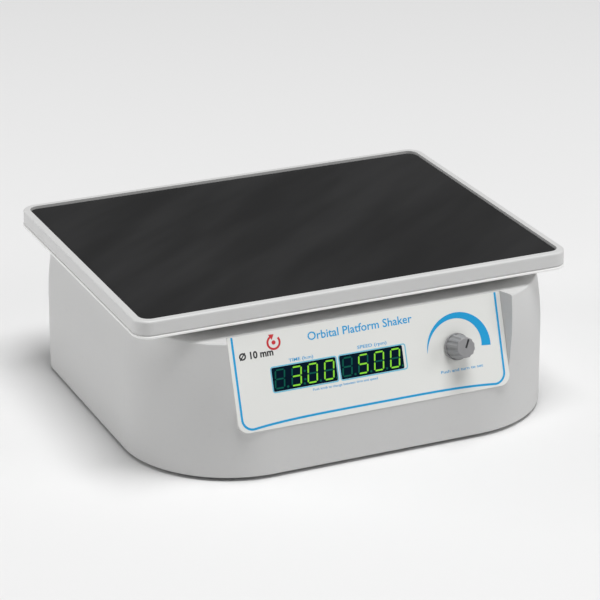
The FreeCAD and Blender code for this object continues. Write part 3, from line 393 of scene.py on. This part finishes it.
def studio_paper(colour):
    """Seamless pale paper with hardly any tooth."""
    f = Finish("studio_paper")
    tooth = f.noise(0.002, 2.0)
    wide = f.noise(0.6, 1.0)
    base = f.blend(wide, shade(colour, 0.99), shade(colour, 1.0))
    return f.close(base, 0.80 + tooth * 0.10, tooth, 0.00002, Specular_IOR_Level=0.2)


def coat(nodes, material):
    """Gives CAD nodes their finish."""
    for name in nodes:
        for place in NODES[name].material_slots:
            place.material = material


# ---------------------------------------------------------------- mesh helpers

MERGE_DISTANCE = 1e-7       # metres
CORNER_STEPS = 7            # points along a window outline's corner
LETTER_STEPS = 3            # points along each curve of a letter
CAP_SHARE = 0.70            # a capital's height over the size of the built-in typeface


def add_piece(name, points, faces, material, body, slot):
    """Mesh object from an array of points in metres and a list of faces, set to ride on a body."""
    mesh = bpy.data.meshes.new(name)
    mesh.from_pydata(points.tolist(), [], faces)
    return settle(name, mesh, material, body)


def settle(name, mesh, material, body):
    """Merges a mesh, turns its faces outwards, gives it its finish and body, and puts it in the scene.

    A piece without a body belongs to the studio."""
    work = bmesh.new()
    work.from_mesh(mesh)
    bmesh.ops.remove_doubles(work, verts=work.verts, dist=MERGE_DISTANCE)
    bmesh.ops.dissolve_degenerate(work, edges=work.edges, dist=MERGE_DISTANCE / 10)
    bmesh.ops.recalc_face_normals(work, faces=work.faces)
    for face in work.faces:
        face.smooth = False
    work.to_mesh(mesh)
    work.free()
    mesh.materials.clear()
    mesh.materials.append(material)
    piece = bpy.data.objects.new(name, mesh)
    bpy.context.scene.collection.objects.link(piece)
    if body is None:
        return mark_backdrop(piece)
    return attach(piece, body)


def grid_faces(rows, columns, closed):
    """Quads of a grid of points whose columns join round, and whose rows do when closed."""
    r, c = np.meshgrid(np.arange(rows if closed else rows - 1), np.arange(columns), indexing="ij")
    r_next = (r + 1) % rows
    c_next = (c + 1) % columns
    quads = [r * columns + c, r_next * columns + c, r_next * columns + c_next, r * columns + c_next]
    return np.stack(quads, axis=-1).reshape(-1, 4)


def strip(one_edge, other_edge, low, high, closed):
    """Flat band on the panel between two edges, from lift low to lift high.

    Each row of the grid is a section: one edge low, other edge low, other edge high, one edge high.
    An open band also gets its two end faces. Gives its points in metres and its faces."""
    section = [(one_edge, low), (other_edge, low), (other_edge, high), (one_edge, high)]
    points = np.stack([on_panel(edge[:, 0], edge[:, 1], lift) for edge, lift in section], axis=1)
    faces = grid_faces(len(one_edge), 4, closed).tolist()
    if not closed:
        last = (len(one_edge) - 1) * 4
        faces += [[0, 1, 2, 3], [last, last + 1, last + 2, last + 3]]
    return points.reshape(-1, 3), faces


def ink_strip(one_edge, other_edge, closed=False):
    """Band of ink on the label between two edges."""
    return strip(one_edge, other_edge, LABEL_THICKNESS, INK_TOP, closed)


def gather(parts):
    """Joins several (points, faces) lots into one."""
    points = []
    faces = []
    count = 0
    for some_points, some_faces in parts:
        points.append(some_points)
        faces += [[index + count for index in face] for face in some_faces]
        count += len(some_points)
    return np.concatenate(points), faces


def arc(middle, radius, start, end, count=13):
    """Points at middle + radius * (cos, sin) of angles from start to end, in degrees."""
    angle = np.radians(np.linspace(start, end, count))
    return np.stack([middle[0] + radius * np.cos(angle), middle[1] + radius * np.sin(angle)], axis=1)


def disc(middle, radius, count, low, high):
    """Round dot: a closed band between its middle and a circle of count points."""
    last = 360 - 360 / count
    return strip(arc(middle, 0.0, 0, last, count), arc(middle, radius, 0, last, count), low, high, True)


def rounded_loop(middle, half_across, half_rise, corner):
    """Rounded rectangle: four quarter circles of the corner radius, joined by its straight sides."""
    x = half_across - corner
    y = half_rise - corner
    quarters = []
    for a, b, turn in ((x, y, 0), (-x, y, 90), (-x, -y, 180), (x, -y, 270)):
        quarters.append(arc((middle[0] + a, middle[1] + b), corner, turn, turn + 90, CORNER_STEPS))
    return np.concatenate(quarters)


def ring_band(middle, half_across, half_rise, corner, width):
    """Band of ink round a rounded rectangle, width wide outwards from that inner loop."""
    inner = rounded_loop(middle, half_across, half_rise, corner)
    outer = rounded_loop(middle, half_across + width, half_rise + width, corner + width)
    return ink_strip(inner, outer, True)


def lettering(name, words, material, cap_height, middle, width, weight):
    """Printed words on the label. The middle is that of their base line.

    The built-in typeface is thickened by the weight, then narrowed or widened to the width."""
    curve = bpy.data.curves.new(name, "FONT")
    curve.body = words
    curve.size = cap_height / CAP_SHARE
    curve.offset = weight
    curve.extrude = INK_HALF
    curve.resolution_u = LETTER_STEPS
    text = bpy.data.objects.new(name, curve)
    bpy.context.scene.collection.objects.link(text)
    ready = text.evaluated_get(bpy.context.evaluated_depsgraph_get())
    mesh = bpy.data.meshes.new_from_object(ready)
    bpy.data.objects.remove(text)
    flat = np.empty(len(mesh.vertices) * 3, np.float32)
    mesh.vertices.foreach_get("co", flat)
    flat = flat.reshape(-1, 3).astype(float)
    flat[:, 0] -= (flat[:, 0].min() + flat[:, 0].max()) / 2
    flat[:, 0] *= width / np.ptp(flat[:, 0])
    lift = LABEL_THICKNESS + INK_HALF + flat[:, 2]
    placed = on_panel(middle[0] + flat[:, 0], middle[1] + flat[:, 1], lift)
    mesh.vertices.foreach_set("co", placed.astype(np.float32).ravel())
    mesh.update()
    return settle(name, mesh, material, "base")


# ---------------------------------------------------------------- what a user may change

def colour_property(name, description, default):
    """A colour swatch."""
    return bpy.props.FloatVectorProperty(
        name=name, description=description, default=default, size=3, min=0.0, max=1.0, subtype="COLOR")


class ShakerColours(bpy.types.PropertyGroup):
    """Colours of the visible finishes."""

    housing: colour_property("Housing", "Moulded housing", (0.645, 0.645, 0.64))
    platform: colour_property("Platform", "Powder-coated tray", (0.675, 0.675, 0.67))
    # the plate's whiteness is partly its own white coat and partly a painted highlight on the lip under
    # the tray
    plate: colour_property("Base plate", "Plate whose edge shows under the tray", (0.93, 0.93, 0.92))
    mat: colour_property("Mat", "Rubber mat", (0.022, 0.022, 0.0225))
    label: colour_property("Label", "Panel overlay", (0.82, 0.825, 0.80))
    blue: colour_property("Blue ink", "Border, captions and the knob's wedge", (0.003, 0.355, 0.715))
    pale_blue: colour_property("Pale blue ink", "Lines round the windows", (0.19, 0.57, 0.75))
    black: colour_property("Black ink", "Orbit figure beside the title", (0.015, 0.015, 0.018))
    red: colour_property("Red ink", "Orbit sign beside the title", (0.62, 0.03, 0.04))
    window: colour_property("Windows", "Tinted filters over the digits", (0.001, 0.009, 0.021))
    lit: colour_property("Lit segments", "Colour of a segment that is on", (0.24, 0.66, 0.040))
    # an off segment's colour is also the colour of its painted glow
    unlit: colour_property("Unlit segments", "Colour of a segment that is off", (0.002, 0.075, 0.052))
    knob: colour_property("Knob", "Fluted knob", (0.275, 0.275, 0.28))
    floor: colour_property("Floor", "Studio floor", (0.82, 0.82, 0.82))


class PanelPrint(bpy.types.PropertyGroup):
    """Sizes of what is printed on the panel, in millimetres of the panel's plane."""

    title: bpy.props.StringProperty(
        name="Title", description="Words over the displays", default="Orbital Platform Shaker")
    border_width: bpy.props.FloatProperty(
        name="Border width", description="Width of the line round the label, mm",
        default=1.6, min=0.2, max=4.0)
    wedge_radius: bpy.props.FloatProperty(
        name="Wedge radius", description="Outer radius of the wedge round the knob, mm",
        default=25.5, min=15, max=30)
    wedge_width: bpy.props.FloatProperty(
        name="Wedge width", description="Width of the wedge at its thick end, mm",
        default=7.4, min=1.0, max=12.0)


class DigitSizes(bpy.types.PropertyGroup):
    """Sizes of the seven-segment digits, in millimetres of the panel's plane."""

    height: bpy.props.FloatProperty(
        name="Digit height", description="Over the outer edges of the segments, mm",
        default=14.0, min=5, max=16)
    width: bpy.props.FloatProperty(
        name="Digit width", description="Over the outer edges of the segments, mm",
        default=8.0, min=4, max=11)
    stroke: bpy.props.FloatProperty(
        name="Segment width", description="Width of one segment, mm", default=1.1, min=0.5, max=3)
    slant: bpy.props.FloatProperty(
        name="Slant", description="Lean of the digits",
        default=math.radians(7), min=0, max=0.3, subtype="ANGLE")


class StudioSettings(bpy.types.PropertyGroup):
    """Camera and lights."""

    azimuth: bpy.props.FloatProperty(
        name="Azimuth", description="Camera's turn round the object from straight in front",
        default=math.radians(-24.088), subtype="ANGLE")
    elevation: bpy.props.FloatProperty(
        name="Elevation", description="Camera's height angle",
        default=math.radians(22.322), subtype="ANGLE")
    distance: bpy.props.FloatProperty(
        name="Distance", description="From the camera to the aim point", default=2.0093, unit="LENGTH")
    lens: bpy.props.FloatProperty(
        name="Lens", description="Focal length on a 36 mm sensor, mm", default=160.9, min=20, max=400)
    overhead: bpy.props.FloatProperty(
        name="Overhead light", description="Power of the big softbox high above",
        default=330.0, unit="POWER")
    side: bpy.props.FloatProperty(
        name="Side light", description="Power of the softbox in front, to the right",
        default=10.5, unit="POWER")
    fill: bpy.props.FloatProperty(
        name="Fill light", description="Power of the softbox on the left, a little behind",
        default=15.5, unit="POWER")
    ambient: bpy.props.FloatProperty(
        name="Ambient", description="Strength of the room's even light",
        default=0.10, min=0.0, max=3.0)


# ---------------------------------------------------------------- operators

# colours of the parts behind, below and inside
BLACK_CASE = (0.01, 0.01, 0.012)
BLACK_FITTING = (0.022, 0.022, 0.024)
BRASS = (0.78, 0.60, 0.30)
ZINC = (0.58, 0.59, 0.60)
SCREW_METAL = (0.66, 0.66, 0.63)
FOOT_RUBBER = (0.020, 0.020, 0.021)
ALUMINIUM = (0.74, 0.75, 0.76)
STEEL = (0.60, 0.60, 0.61)
ENAMEL = (0.045, 0.045, 0.05)
BELT_RUBBER = (0.022, 0.022, 0.023)
SOLDER_MASK = (0.012, 0.085, 0.035)
PART_CASE = (0.03, 0.03, 0.034)
PART_SLEEVE = (0.10, 0.12, 0.20)
POST_METAL = (0.70, 0.70, 0.68)
MAINS_LEAD = (0.32, 0.035, 0.03)
SIGNAL_LEAD = (0.05, 0.08, 0.20)


class SHAKER_OT_housing(bpy.types.Operator):
    """Finish the moulded housing"""

    bl_idname = "shaker.housing"
    bl_label = "Housing"

    def execute(self, context):
        """Grey satin plastic on the shell."""
        coat(["housing_shell"], moulded_shell(context.scene.shaker_colours.housing))
        return {"FINISHED"}


class SHAKER_OT_platform(bpy.types.Operator):
    """Finish the platform's tray and base plate"""

    bl_idname = "shaker.platform"
    bl_label = "Platform"

    def execute(self, context):
        """Pale powder coat on the tray; whiter on the plate under it, partly its own white coat and partly
        a painted highlight on its lip.
        """
        colours = context.scene.shaker_colours
        coat(["platform_tray"], powder_coat("tray_coat", colours.platform))
        # white coat, made whiter still as a painted highlight on the lip
        coat(["platform_base_plate"], powder_coat("plate_coat", colours.plate))
        return {"FINISHED"}


class SHAKER_OT_mat(bpy.types.Operator):
    """Finish the rubber mat"""

    bl_idname = "shaker.mat"
    bl_label = "Mat"

    def execute(self, context):
        """Black rubber with diagonal streaks painted in as reflections."""
        coat(["platform_mat"], rubber_sheet(context.scene.shaker_colours.mat))
        return {"FINISHED"}


# border: half its width, its shift aside, and the rises of its foot, of the foot's arch and of its top
BORDER_HALF_ACROSS = 103.5
BORDER_ASIDE = -0.3
BORDER_FOOT = 2.8
BORDER_ARCH = 2.6
BORDER_TOP = 69.0
BORDER_CORNER = 8.0
BORDER_STEPS = 41
# windows, and the lines round them: the room is what a line leaves free on a window's right
WINDOW_MIDDLES = (-52.4, 0.0)
WINDOW_RISE = 34.6
WINDOW_HALF = (24.8, 8.5)
OUTLINE_GAP = 0.05
OUTLINE_ROOM = (0.0, 1.8)
OUTLINE_CORNER = 1.2
OUTLINE_WIDTH = 0.9
# wedge: its start and its clockwise sweep in degrees, and the power by which its width grows
WEDGE_MIDDLE = (69.6, 34.0)
WEDGE_START = 182.0
WEDGE_SWEEP = 187.0
WEDGE_GROWTH = 0.77
WEDGE_STEPS = 73
# orbit sign: a ring open on the right of its top, an arrow head at its start, and a dot
SIGN_MIDDLE = (-72.8, 60.8)
SIGN_RADIUS = 4.6
SIGN_STROKE = 1.5
SIGN_ANGLES = (120, 400)
SIGN_STEPS = 41
HEAD_HALF = 2.3
HEAD_LENGTH = 3.6
DOT_RADIUS = 1.5
DOT_STEPS = 24


class SHAKER_OT_label_print(bpy.types.Operator):
    """Print the panel's border, wedge, title and captions"""

    bl_idname = "shaker.label_print"
    bl_label = "Label and print"

    def execute(self, context):
        """Film finish on the label and every printed mark on it."""
        colours = context.scene.shaker_colours
        sizes = context.scene.shaker_print
        coat(["control_label"], printed_film(colours.label))
        blue = ink("blue_ink", colours.blue)
        self.border(sizes.border_width, blue)
        self.outlines(ink("pale_blue_ink", colours.pale_blue))
        self.wedge(sizes.wedge_radius, sizes.wedge_width, blue)
        self.orbit_sign(ink("red_ink", colours.red))
        lettering("title", sizes.title, blue,
                  cap_height=5.8, middle=(-5.8, 58.0), width=81.8, weight=0.10)
        lettering("time_caption", "TIME (h:m)", blue,
                  cap_height=2.2, middle=(-53.8, 45.3), width=18.8, weight=0.04)
        lettering("speed_caption", "SPEED (rpm)", blue,
                  cap_height=2.2, middle=(1.6, 45.8), width=23.0, weight=0.04)
        lettering("display_hint", "Push knob to change between time and speed", blue,
                  cap_height=1.7, middle=(-22.4, 22.0), width=50.5, weight=0.02)
        lettering("knob_caption", "Push and turn to set", blue,
                  cap_height=2.0, middle=(69.9, 17.2), width=34.0, weight=0.03)
        lettering("orbit_figure", "Ø 10 mm", ink("black_ink", colours.black),
                  cap_height=4.9, middle=(-87.0, 52.1), width=26.0, weight=0.22)
        return {"FINISHED"}

    def border(self, width, material):
        """Line that runs down one side, along the foot and up the other side.

        The sides are straight and meet the foot in quarter circles. The foot arches up between them:
        rise = foot + arch * (1 - (across / reach) ** 4). Both edges lie half the width off this line."""
        edges = []
        reach = BORDER_HALF_ACROSS - BORDER_CORNER
        across = np.linspace(-reach, reach, BORDER_STEPS)[1:-1]
        arch = BORDER_ARCH * (1 - (across / reach) ** 4)
        for offset in (-width / 2, width / 2):
            y = BORDER_FOOT + BORDER_CORNER
            side = BORDER_HALF_ACROSS + offset
            left = arc((-reach, y), BORDER_CORNER + offset, 180, 270)
            foot = np.stack([across, BORDER_FOOT - offset + arch], axis=1)
            right = arc((reach, y), BORDER_CORNER + offset, 270, 360)
            line = np.concatenate([[(-side, BORDER_TOP)], left, foot, right, [(side, BORDER_TOP)]])
            edges.append(line + (BORDER_ASIDE, 0))
        points, faces = ink_strip(edges[0], edges[1])
        add_piece("border_line", points, faces, material, "base", "label_film")

    def outlines(self, material):
        """Band round each window, that of the speed window further off on the right."""
        half_rise = WINDOW_HALF[1] + OUTLINE_GAP
        bands = []
        for across, room in zip(WINDOW_MIDDLES, OUTLINE_ROOM):
            half_across = WINDOW_HALF[0] + OUTLINE_GAP + room / 2
            middle = (across + room / 2, WINDOW_RISE)
            bands.append(ring_band(middle, half_across, half_rise, OUTLINE_CORNER, OUTLINE_WIDTH))
        points, faces = gather(bands)
        add_piece("window_outlines", points, faces, material, "base", "label_film")

    def wedge(self, radius, width, material):
        """Curved wedge with a circle for its outer edge.

        Inner radius = radius - width * share ** growth, share being how much of the sweep is done."""
        share = np.linspace(0, 1, WEDGE_STEPS)
        angle = np.radians(WEDGE_START - WEDGE_SWEEP * share)
        inner_radius = radius - width * share ** WEDGE_GROWTH
        ray = np.stack([np.cos(angle), np.sin(angle)], axis=1)
        inner = WEDGE_MIDDLE + inner_radius[:, None] * ray
        outer = WEDGE_MIDDLE + radius * ray
        points, faces = ink_strip(inner, outer)
        add_piece("speed_wedge", points, faces, material, "base", "label_film")

    def orbit_sign(self, material):
        """Round arrow: most of a ring, a triangle that points clockwise at its start, and a dot inside."""
        ring = ink_strip(arc(SIGN_MIDDLE, SIGN_RADIUS - SIGN_STROKE / 2, *SIGN_ANGLES, SIGN_STEPS),
                         arc(SIGN_MIDDLE, SIGN_RADIUS + SIGN_STROKE / 2, *SIGN_ANGLES, SIGN_STEPS))
        start = math.radians(SIGN_ANGLES[0])
        ray = np.array([math.cos(start), math.sin(start)])
        clockwise = np.array([ray[1], -ray[0]])
        foot = np.array(SIGN_MIDDLE) + SIGN_RADIUS * ray
        tip = foot + HEAD_LENGTH * clockwise
        head = ink_strip(np.array([foot - HEAD_HALF * ray, tip]), np.array([foot + HEAD_HALF * ray, tip]))
        dot = disc(SIGN_MIDDLE, DOT_RADIUS, DOT_STEPS, LABEL_THICKNESS, INK_TOP)
        points, faces = gather([ring, head, dot])
        add_piece("orbit_sign", points, faces, material, "base", "label_film")


# segments that make each figure: a on top, then clockwise to f, with g across the middle
SEGMENTS = {"0": "abcdef", "3": "abcdg", "5": "acdfg", "8": "abcdefg", " ": ""}
DIGIT_MIDDLES = ((-71.5, -58.7, -46.3, -33.4), (-19.2, -6.8, 5.7, 18.4))
READINGS = (" 300", " 500")
SEGMENT_GAP = 0.35
# decimal points: from the digit's lower right corner
POINT_ASIDE = 1.4
POINT_RISE = 0.7
POINT_RADIUS = 0.85
POINT_STEPS = 12
COLON_PLACES = ((-52.5, 31.2), (-52.1, 37.1))
LIT_GLOW = 0.62
# an off segment's glow is painted light: it is no lamp
UNLIT_PAINTED_GLOW = 0.75


class SHAKER_OT_displays(bpy.types.Operator):
    """Make the windows' finish and the seven-segment digits behind them"""

    bl_idname = "shaker.displays"
    bl_label = "Displays"

    def execute(self, context):
        """Tinted windows, lit segments, and unlit segments, colon and decimal points with a painted glow.
        """
        colours = context.scene.shaker_colours
        sizes = context.scene.shaker_digits
        coat(["display_windows"], tinted_window(colours.window))
        coat(["time_display", "speed_display"], black_moulding(BLACK_CASE))
        lit = lamp("lit_segment", colours.lit, LIT_GLOW)
        # segments that are off, the colon and the decimal points get a painted glow
        unlit = lamp("unlit_segment", colours.unlit, UNLIT_PAINTED_GLOW)
        low = panel_top("display_windows")
        point_rise = WINDOW_RISE - sizes.height / 2 + POINT_RISE
        for name, middles, reading in zip(("time", "speed"), DIGIT_MIDDLES, READINGS):
            on = []
            off = []
            for middle, figure in zip(middles, reading):
                for letter in SEGMENTS["8"]:
                    lot = on if letter in SEGMENTS[figure] else off
                    lot.append(self.segment(sizes, middle, letter, low))
                off.append(self.point((middle + sizes.width / 2 + POINT_ASIDE, point_rise), low))
            if name == "time":
                off += [self.point(place, low) for place in COLON_PLACES]
            add_piece(name + "_digits_lit", *gather(on), lit, "base", "display_window")
            add_piece(name + "_digits_unlit", *gather(off), unlit, "base", "display_window")
        return {"FINISHED"}

    def segment(self, sizes, middle, letter, low):
        """Pointed bar: half width 0 at its ends and half a stroke between, then leant with the digit.

        Lines holds the bar's two ends for each letter, from the digit's middle."""
        half = sizes.stroke / 2
        x = sizes.width / 2 - half
        y = sizes.height / 2 - half
        lines = {"a": (-x, y, x, y), "b": (x, 0, x, y), "c": (x, -y, x, 0), "d": (-x, -y, x, -y),
                 "e": (-x, -y, -x, 0), "f": (-x, 0, -x, y), "g": (-x, 0, x, 0)}
        x0, y0, x1, y1 = lines[letter]
        length = math.hypot(x1 - x0, y1 - y0)
        along = np.array([x1 - x0, y1 - y0]) / length
        aside = np.array([-along[1], along[0]])
        reach = length / 2 - SEGMENT_GAP
        station = np.array([-reach, half - reach, reach - half, reach])
        spread = np.array([0, half, half, 0])
        line = np.array([(x0 + x1) / 2, (y0 + y1) / 2]) + station[:, None] * along
        edges = []
        for side in (-1, 1):
            edge = line + side * spread[:, None] * aside
            edge[:, 0] += edge[:, 1] * math.tan(sizes.slant)
            edges.append(edge + (middle, WINDOW_RISE))
        return strip(edges[0], edges[1], low, low + INK_HALF, False)

    def point(self, middle, low):
        """Decimal point, or one of the colon's two."""
        return disc(middle, POINT_RADIUS, POINT_STEPS, low, low + INK_HALF)


# line on the knob's face: its turn from the right, and where it starts and ends from the knob's axis
POINTER_ANGLE = math.radians(64)
POINTER_LENGTH = (-0.3, 6.3)
POINTER_WIDTH = 1.45


class SHAKER_OT_knob(bpy.types.Operator):
    """Finish the knob and its pointer line"""

    bl_idname = "shaker.knob"
    bl_label = "Knob"

    def execute(self, context):
        """Grey plastic on the knob, with a dark line from the middle of its face to the edge."""
        coat(["control_knob"], knob_plastic(context.scene.shaker_colours.knob))
        across = (box_middle("control_knob")[0] - PANEL_FOOT[0]) / MM
        rise = (box_middle("encoder_nut") - PANEL_FOOT) @ PANEL_UP / MM
        low = panel_top("control_knob")
        ray = np.array([math.cos(POINTER_ANGLE), math.sin(POINTER_ANGLE)])
        aside = np.array([-ray[1], ray[0]]) * POINTER_WIDTH / 2
        line = np.array([across, rise]) + np.array(POINTER_LENGTH)[:, None] * ray
        points, faces = strip(line - aside, line + aside, low - INK_HALF, low + INK_HALF, False)
        black = ink("pointer_ink", context.scene.shaker_colours.black)
        add_piece("knob_pointer", points, faces, black, "knob", "knob_plastic")
        return {"FINISHED"}


class SHAKER_OT_rear_fittings(bpy.types.Operator):
    """Finish the mains inlet, the fuse drawer and the power switch"""

    bl_idname = "shaker.rear_fittings"
    bl_label = "Rear fittings"

    def execute(self, context):
        """Black mouldings and brass blades."""
        coat(["mains_inlet", "fuse_drawer", "power_switch_frame", "power_rocker",
              "encoder_push_plunger"], black_moulding(BLACK_FITTING))
        coat(["mains_terminals"], turned_metal("plated_brass", BRASS, 0.22))
        return {"FINISHED"}


class SHAKER_OT_underside(bpy.types.Operator):
    """Finish the bottom plate, its screws and the feet"""

    bl_idname = "shaker.underside"
    bl_label = "Underside"

    def execute(self, context):
        """Zinc-plated sheet, plated screws and dull rubber."""
        coat(["bottom_plate", "counterweight"], zinc_plate(ZINC))
        screws = [name for name in NODES if name.endswith("_screws")]
        coat(screws, turned_metal("plated_screw", SCREW_METAL, 0.26))
        coat(["rubber_feet"], soft_rubber("foot_rubber", FOOT_RUBBER))
        return {"FINISHED"}


class SHAKER_OT_mechanism(bpy.types.Operator):
    """Finish the chassis, cranks, bearings, pulleys, belt and motor"""

    bl_idname = "shaker.mechanism"
    bl_label = "Mechanism"

    def execute(self, context):
        """Aluminium, ground steel, enamel and rubber."""
        aluminium = turned_metal("turned_aluminium", ALUMINIUM, 0.30, 0.0006)
        steel = turned_metal("ground_steel", STEEL, 0.16)
        coat(["chassis_plate", "chassis_posts", "drive_bearing_housing", "idler_bearing_housings",
              "driven_pulley", "motor_pulley", "platform_bearing_cups", "encoder_shaft"], aluminium)
        rings = [name for name in NODES if "rings" in name or name.startswith("idler_crank")]
        coat(rings + ["drive_shaft", "drive_crank", "motor_shaft", "encoder_case", "encoder_nut"], steel)
        coat(["motor_can", "motor_rotor"], lacquered_steel(ENAMEL))
        coat(["drive_belt"], soft_rubber("belt_rubber", BELT_RUBBER))
        return {"FINISHED"}


class SHAKER_OT_electrics(bpy.types.Operator):
    """Finish the boards, their parts and the leads"""

    bl_idname = "shaker.electrics"
    bl_label = "Electrics"

    def execute(self, context):
        """Green boards, dark parts and coloured leads."""
        coat(["display_board", "control_board", "power_supply_board"], circuit_laminate(SOLDER_MASK))
        coat(["control_board_parts", "power_supply_parts"], part_cases(PART_CASE, PART_SLEEVE))
        coat(["board_posts"], turned_metal("board_post_metal", POST_METAL, 0.28))
        coat(["internal_wires"], lead_sleeves(MAINS_LEAD, SIGNAL_LEAD))
        return {"FINISHED"}


# the camera's aim, in metres: along X and Y from the mat's middle, then aside and down as it sees them
AIM_SHIFT = (0.0022, 0.0022)
AIM_ASIDE = 0.007441
AIM_BELOW = 0.05302
SENSOR_WIDTH = 36.0
VIEW_END = 100.0
FLOOR_HALF = 12.0
# each softbox's size and place, and the point that all of them face, in metres
SOFTBOXES = {
    "overhead": (3.2, (0.3, -1.0, 6.0)),
    "side": (1.0, (1.6, -1.3, 1.0)),
    "fill": (1.2, (-2.0, 0.9, 0.7)),
}
LIGHT_AIM = (0.0, 0.0, 0.06)


class SHAKER_OT_studio(bpy.types.Operator):
    """Lay the floor and set the lights and the camera"""

    bl_idname = "shaker.studio"
    bl_label = "Studio"

    def execute(self, context):
        """Pale floor, three softboxes, an even room and a long lens."""
        scene = context.scene
        settings = scene.shaker_studio
        self.floor(studio_paper(scene.shaker_colours.floor))
        for name, (size, place) in SOFTBOXES.items():
            self.softbox(name + "_softbox", getattr(settings, name), size, place)
        world = bpy.data.worlds.new("studio_room")
        world.use_nodes = True
        background = world.node_tree.nodes["Background"]
        background.inputs["Color"].default_value = (1.0, 1.0, 1.0, 1.0)
        background.inputs["Strength"].default_value = settings.ambient
        scene.world = world
        scene.view_settings.view_transform = "Standard"
        self.camera(scene, settings)
        return {"FINISHED"}

    def floor(self, material):
        """Flat square at floor level."""
        corners = np.array([[-1, -1, 0], [1, -1, 0], [1, 1, 0], [-1, 1, 0]]) * FLOOR_HALF
        add_piece("studio_floor", corners, [[0, 1, 2, 3]], material, None, None)

    def softbox(self, name, power, size, place):
        """Square area light of the given power in watts."""
        light = bpy.data.lights.new(name, "AREA")
        light.shape = "SQUARE"
        light.size = size
        light.energy = power
        lamp_object = bpy.data.objects.new(name, light)
        lamp_object.location = place
        aim = Vector(LIGHT_AIM) - Vector(place)
        lamp_object.rotation_euler = aim.to_track_quat("-Z", "Y").to_euler()
        bpy.context.scene.collection.objects.link(lamp_object)

    def camera(self, scene, settings):
        """Camera that looks at a point below and beside the middle of the mat."""
        right = Vector((math.cos(settings.azimuth), math.sin(settings.azimuth), 0))
        level = math.cos(settings.elevation)
        back = Vector((math.sin(settings.azimuth) * level, -math.cos(settings.azimuth) * level,
                       math.sin(settings.elevation)))
        up = back.cross(right)
        low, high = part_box("platform_mat")
        top = Vector(((low.x + high.x) / 2, (low.y + high.y) / 2, high.z))
        aim = top + Vector((*AIM_SHIFT, 0)) + AIM_ASIDE * right - AIM_BELOW * up
        data = bpy.data.cameras.new("studio_camera")
        data.lens = settings.lens
        data.sensor_width = SENSOR_WIDTH
        data.clip_end = VIEW_END
        camera = bpy.data.objects.new("studio_camera", data)
        camera.location = aim + settings.distance * back
        camera.rotation_euler = (-back).to_track_quat("-Z", "Y").to_euler()
        scene.collection.objects.link(camera)
        scene.camera = camera


OPERATORS = (
    SHAKER_OT_housing,
    SHAKER_OT_platform,
    SHAKER_OT_mat,
    SHAKER_OT_label_print,
    SHAKER_OT_displays,
    SHAKER_OT_knob,
    SHAKER_OT_rear_fittings,
    SHAKER_OT_underside,
    SHAKER_OT_mechanism,
    SHAKER_OT_electrics,
    SHAKER_OT_studio,
)
GROUPS = {
    "shaker_colours": ShakerColours,
    "shaker_print": PanelPrint,
    "shaker_digits": DigitSizes,
    "shaker_studio": StudioSettings,
}


class SHAKER_PT_pieces(bpy.types.Panel):
    """Buttons for every piece, with what can be changed under them"""

    bl_label = "Orbital shaker"
    bl_space_type = "VIEW_3D"
    bl_region_type = "UI"
    bl_category = "Shaker"

    def draw(self, context):
        """Lists the operators, then the properties of each group."""
        column = self.layout.column()
        for operator in OPERATORS:
            column.operator(operator.bl_idname)
        for attribute in GROUPS:
            box = self.layout.box()
            group = getattr(context.scene, attribute)
            for name in group.__annotations__:
                box.prop(group, name)


def register():
    """Adds the classes and hangs each property group on the scene."""
    for group in GROUPS.values():
        bpy.utils.register_class(group)
    for attribute, group in GROUPS.items():
        setattr(bpy.types.Scene, attribute, bpy.props.PointerProperty(type=group))
    for operator in OPERATORS:
        bpy.utils.register_class(operator)
    bpy.utils.register_class(SHAKER_PT_pieces)


def unregister():
    """Takes away all that register added."""
    bpy.utils.unregister_class(SHAKER_PT_pieces)
    for operator in reversed(OPERATORS):
        bpy.utils.unregister_class(operator)
    for attribute in GROUPS:
        delattr(bpy.types.Scene, attribute)
    for group in GROUPS.values():
        bpy.utils.unregister_class(group)


def main():
    """Makes every piece in order."""
    register()
    for operator in OPERATORS:
        getattr(bpy.ops.shaker, operator.bl_idname.split(".")[1])()


if __name__ == "__main__":
    main()
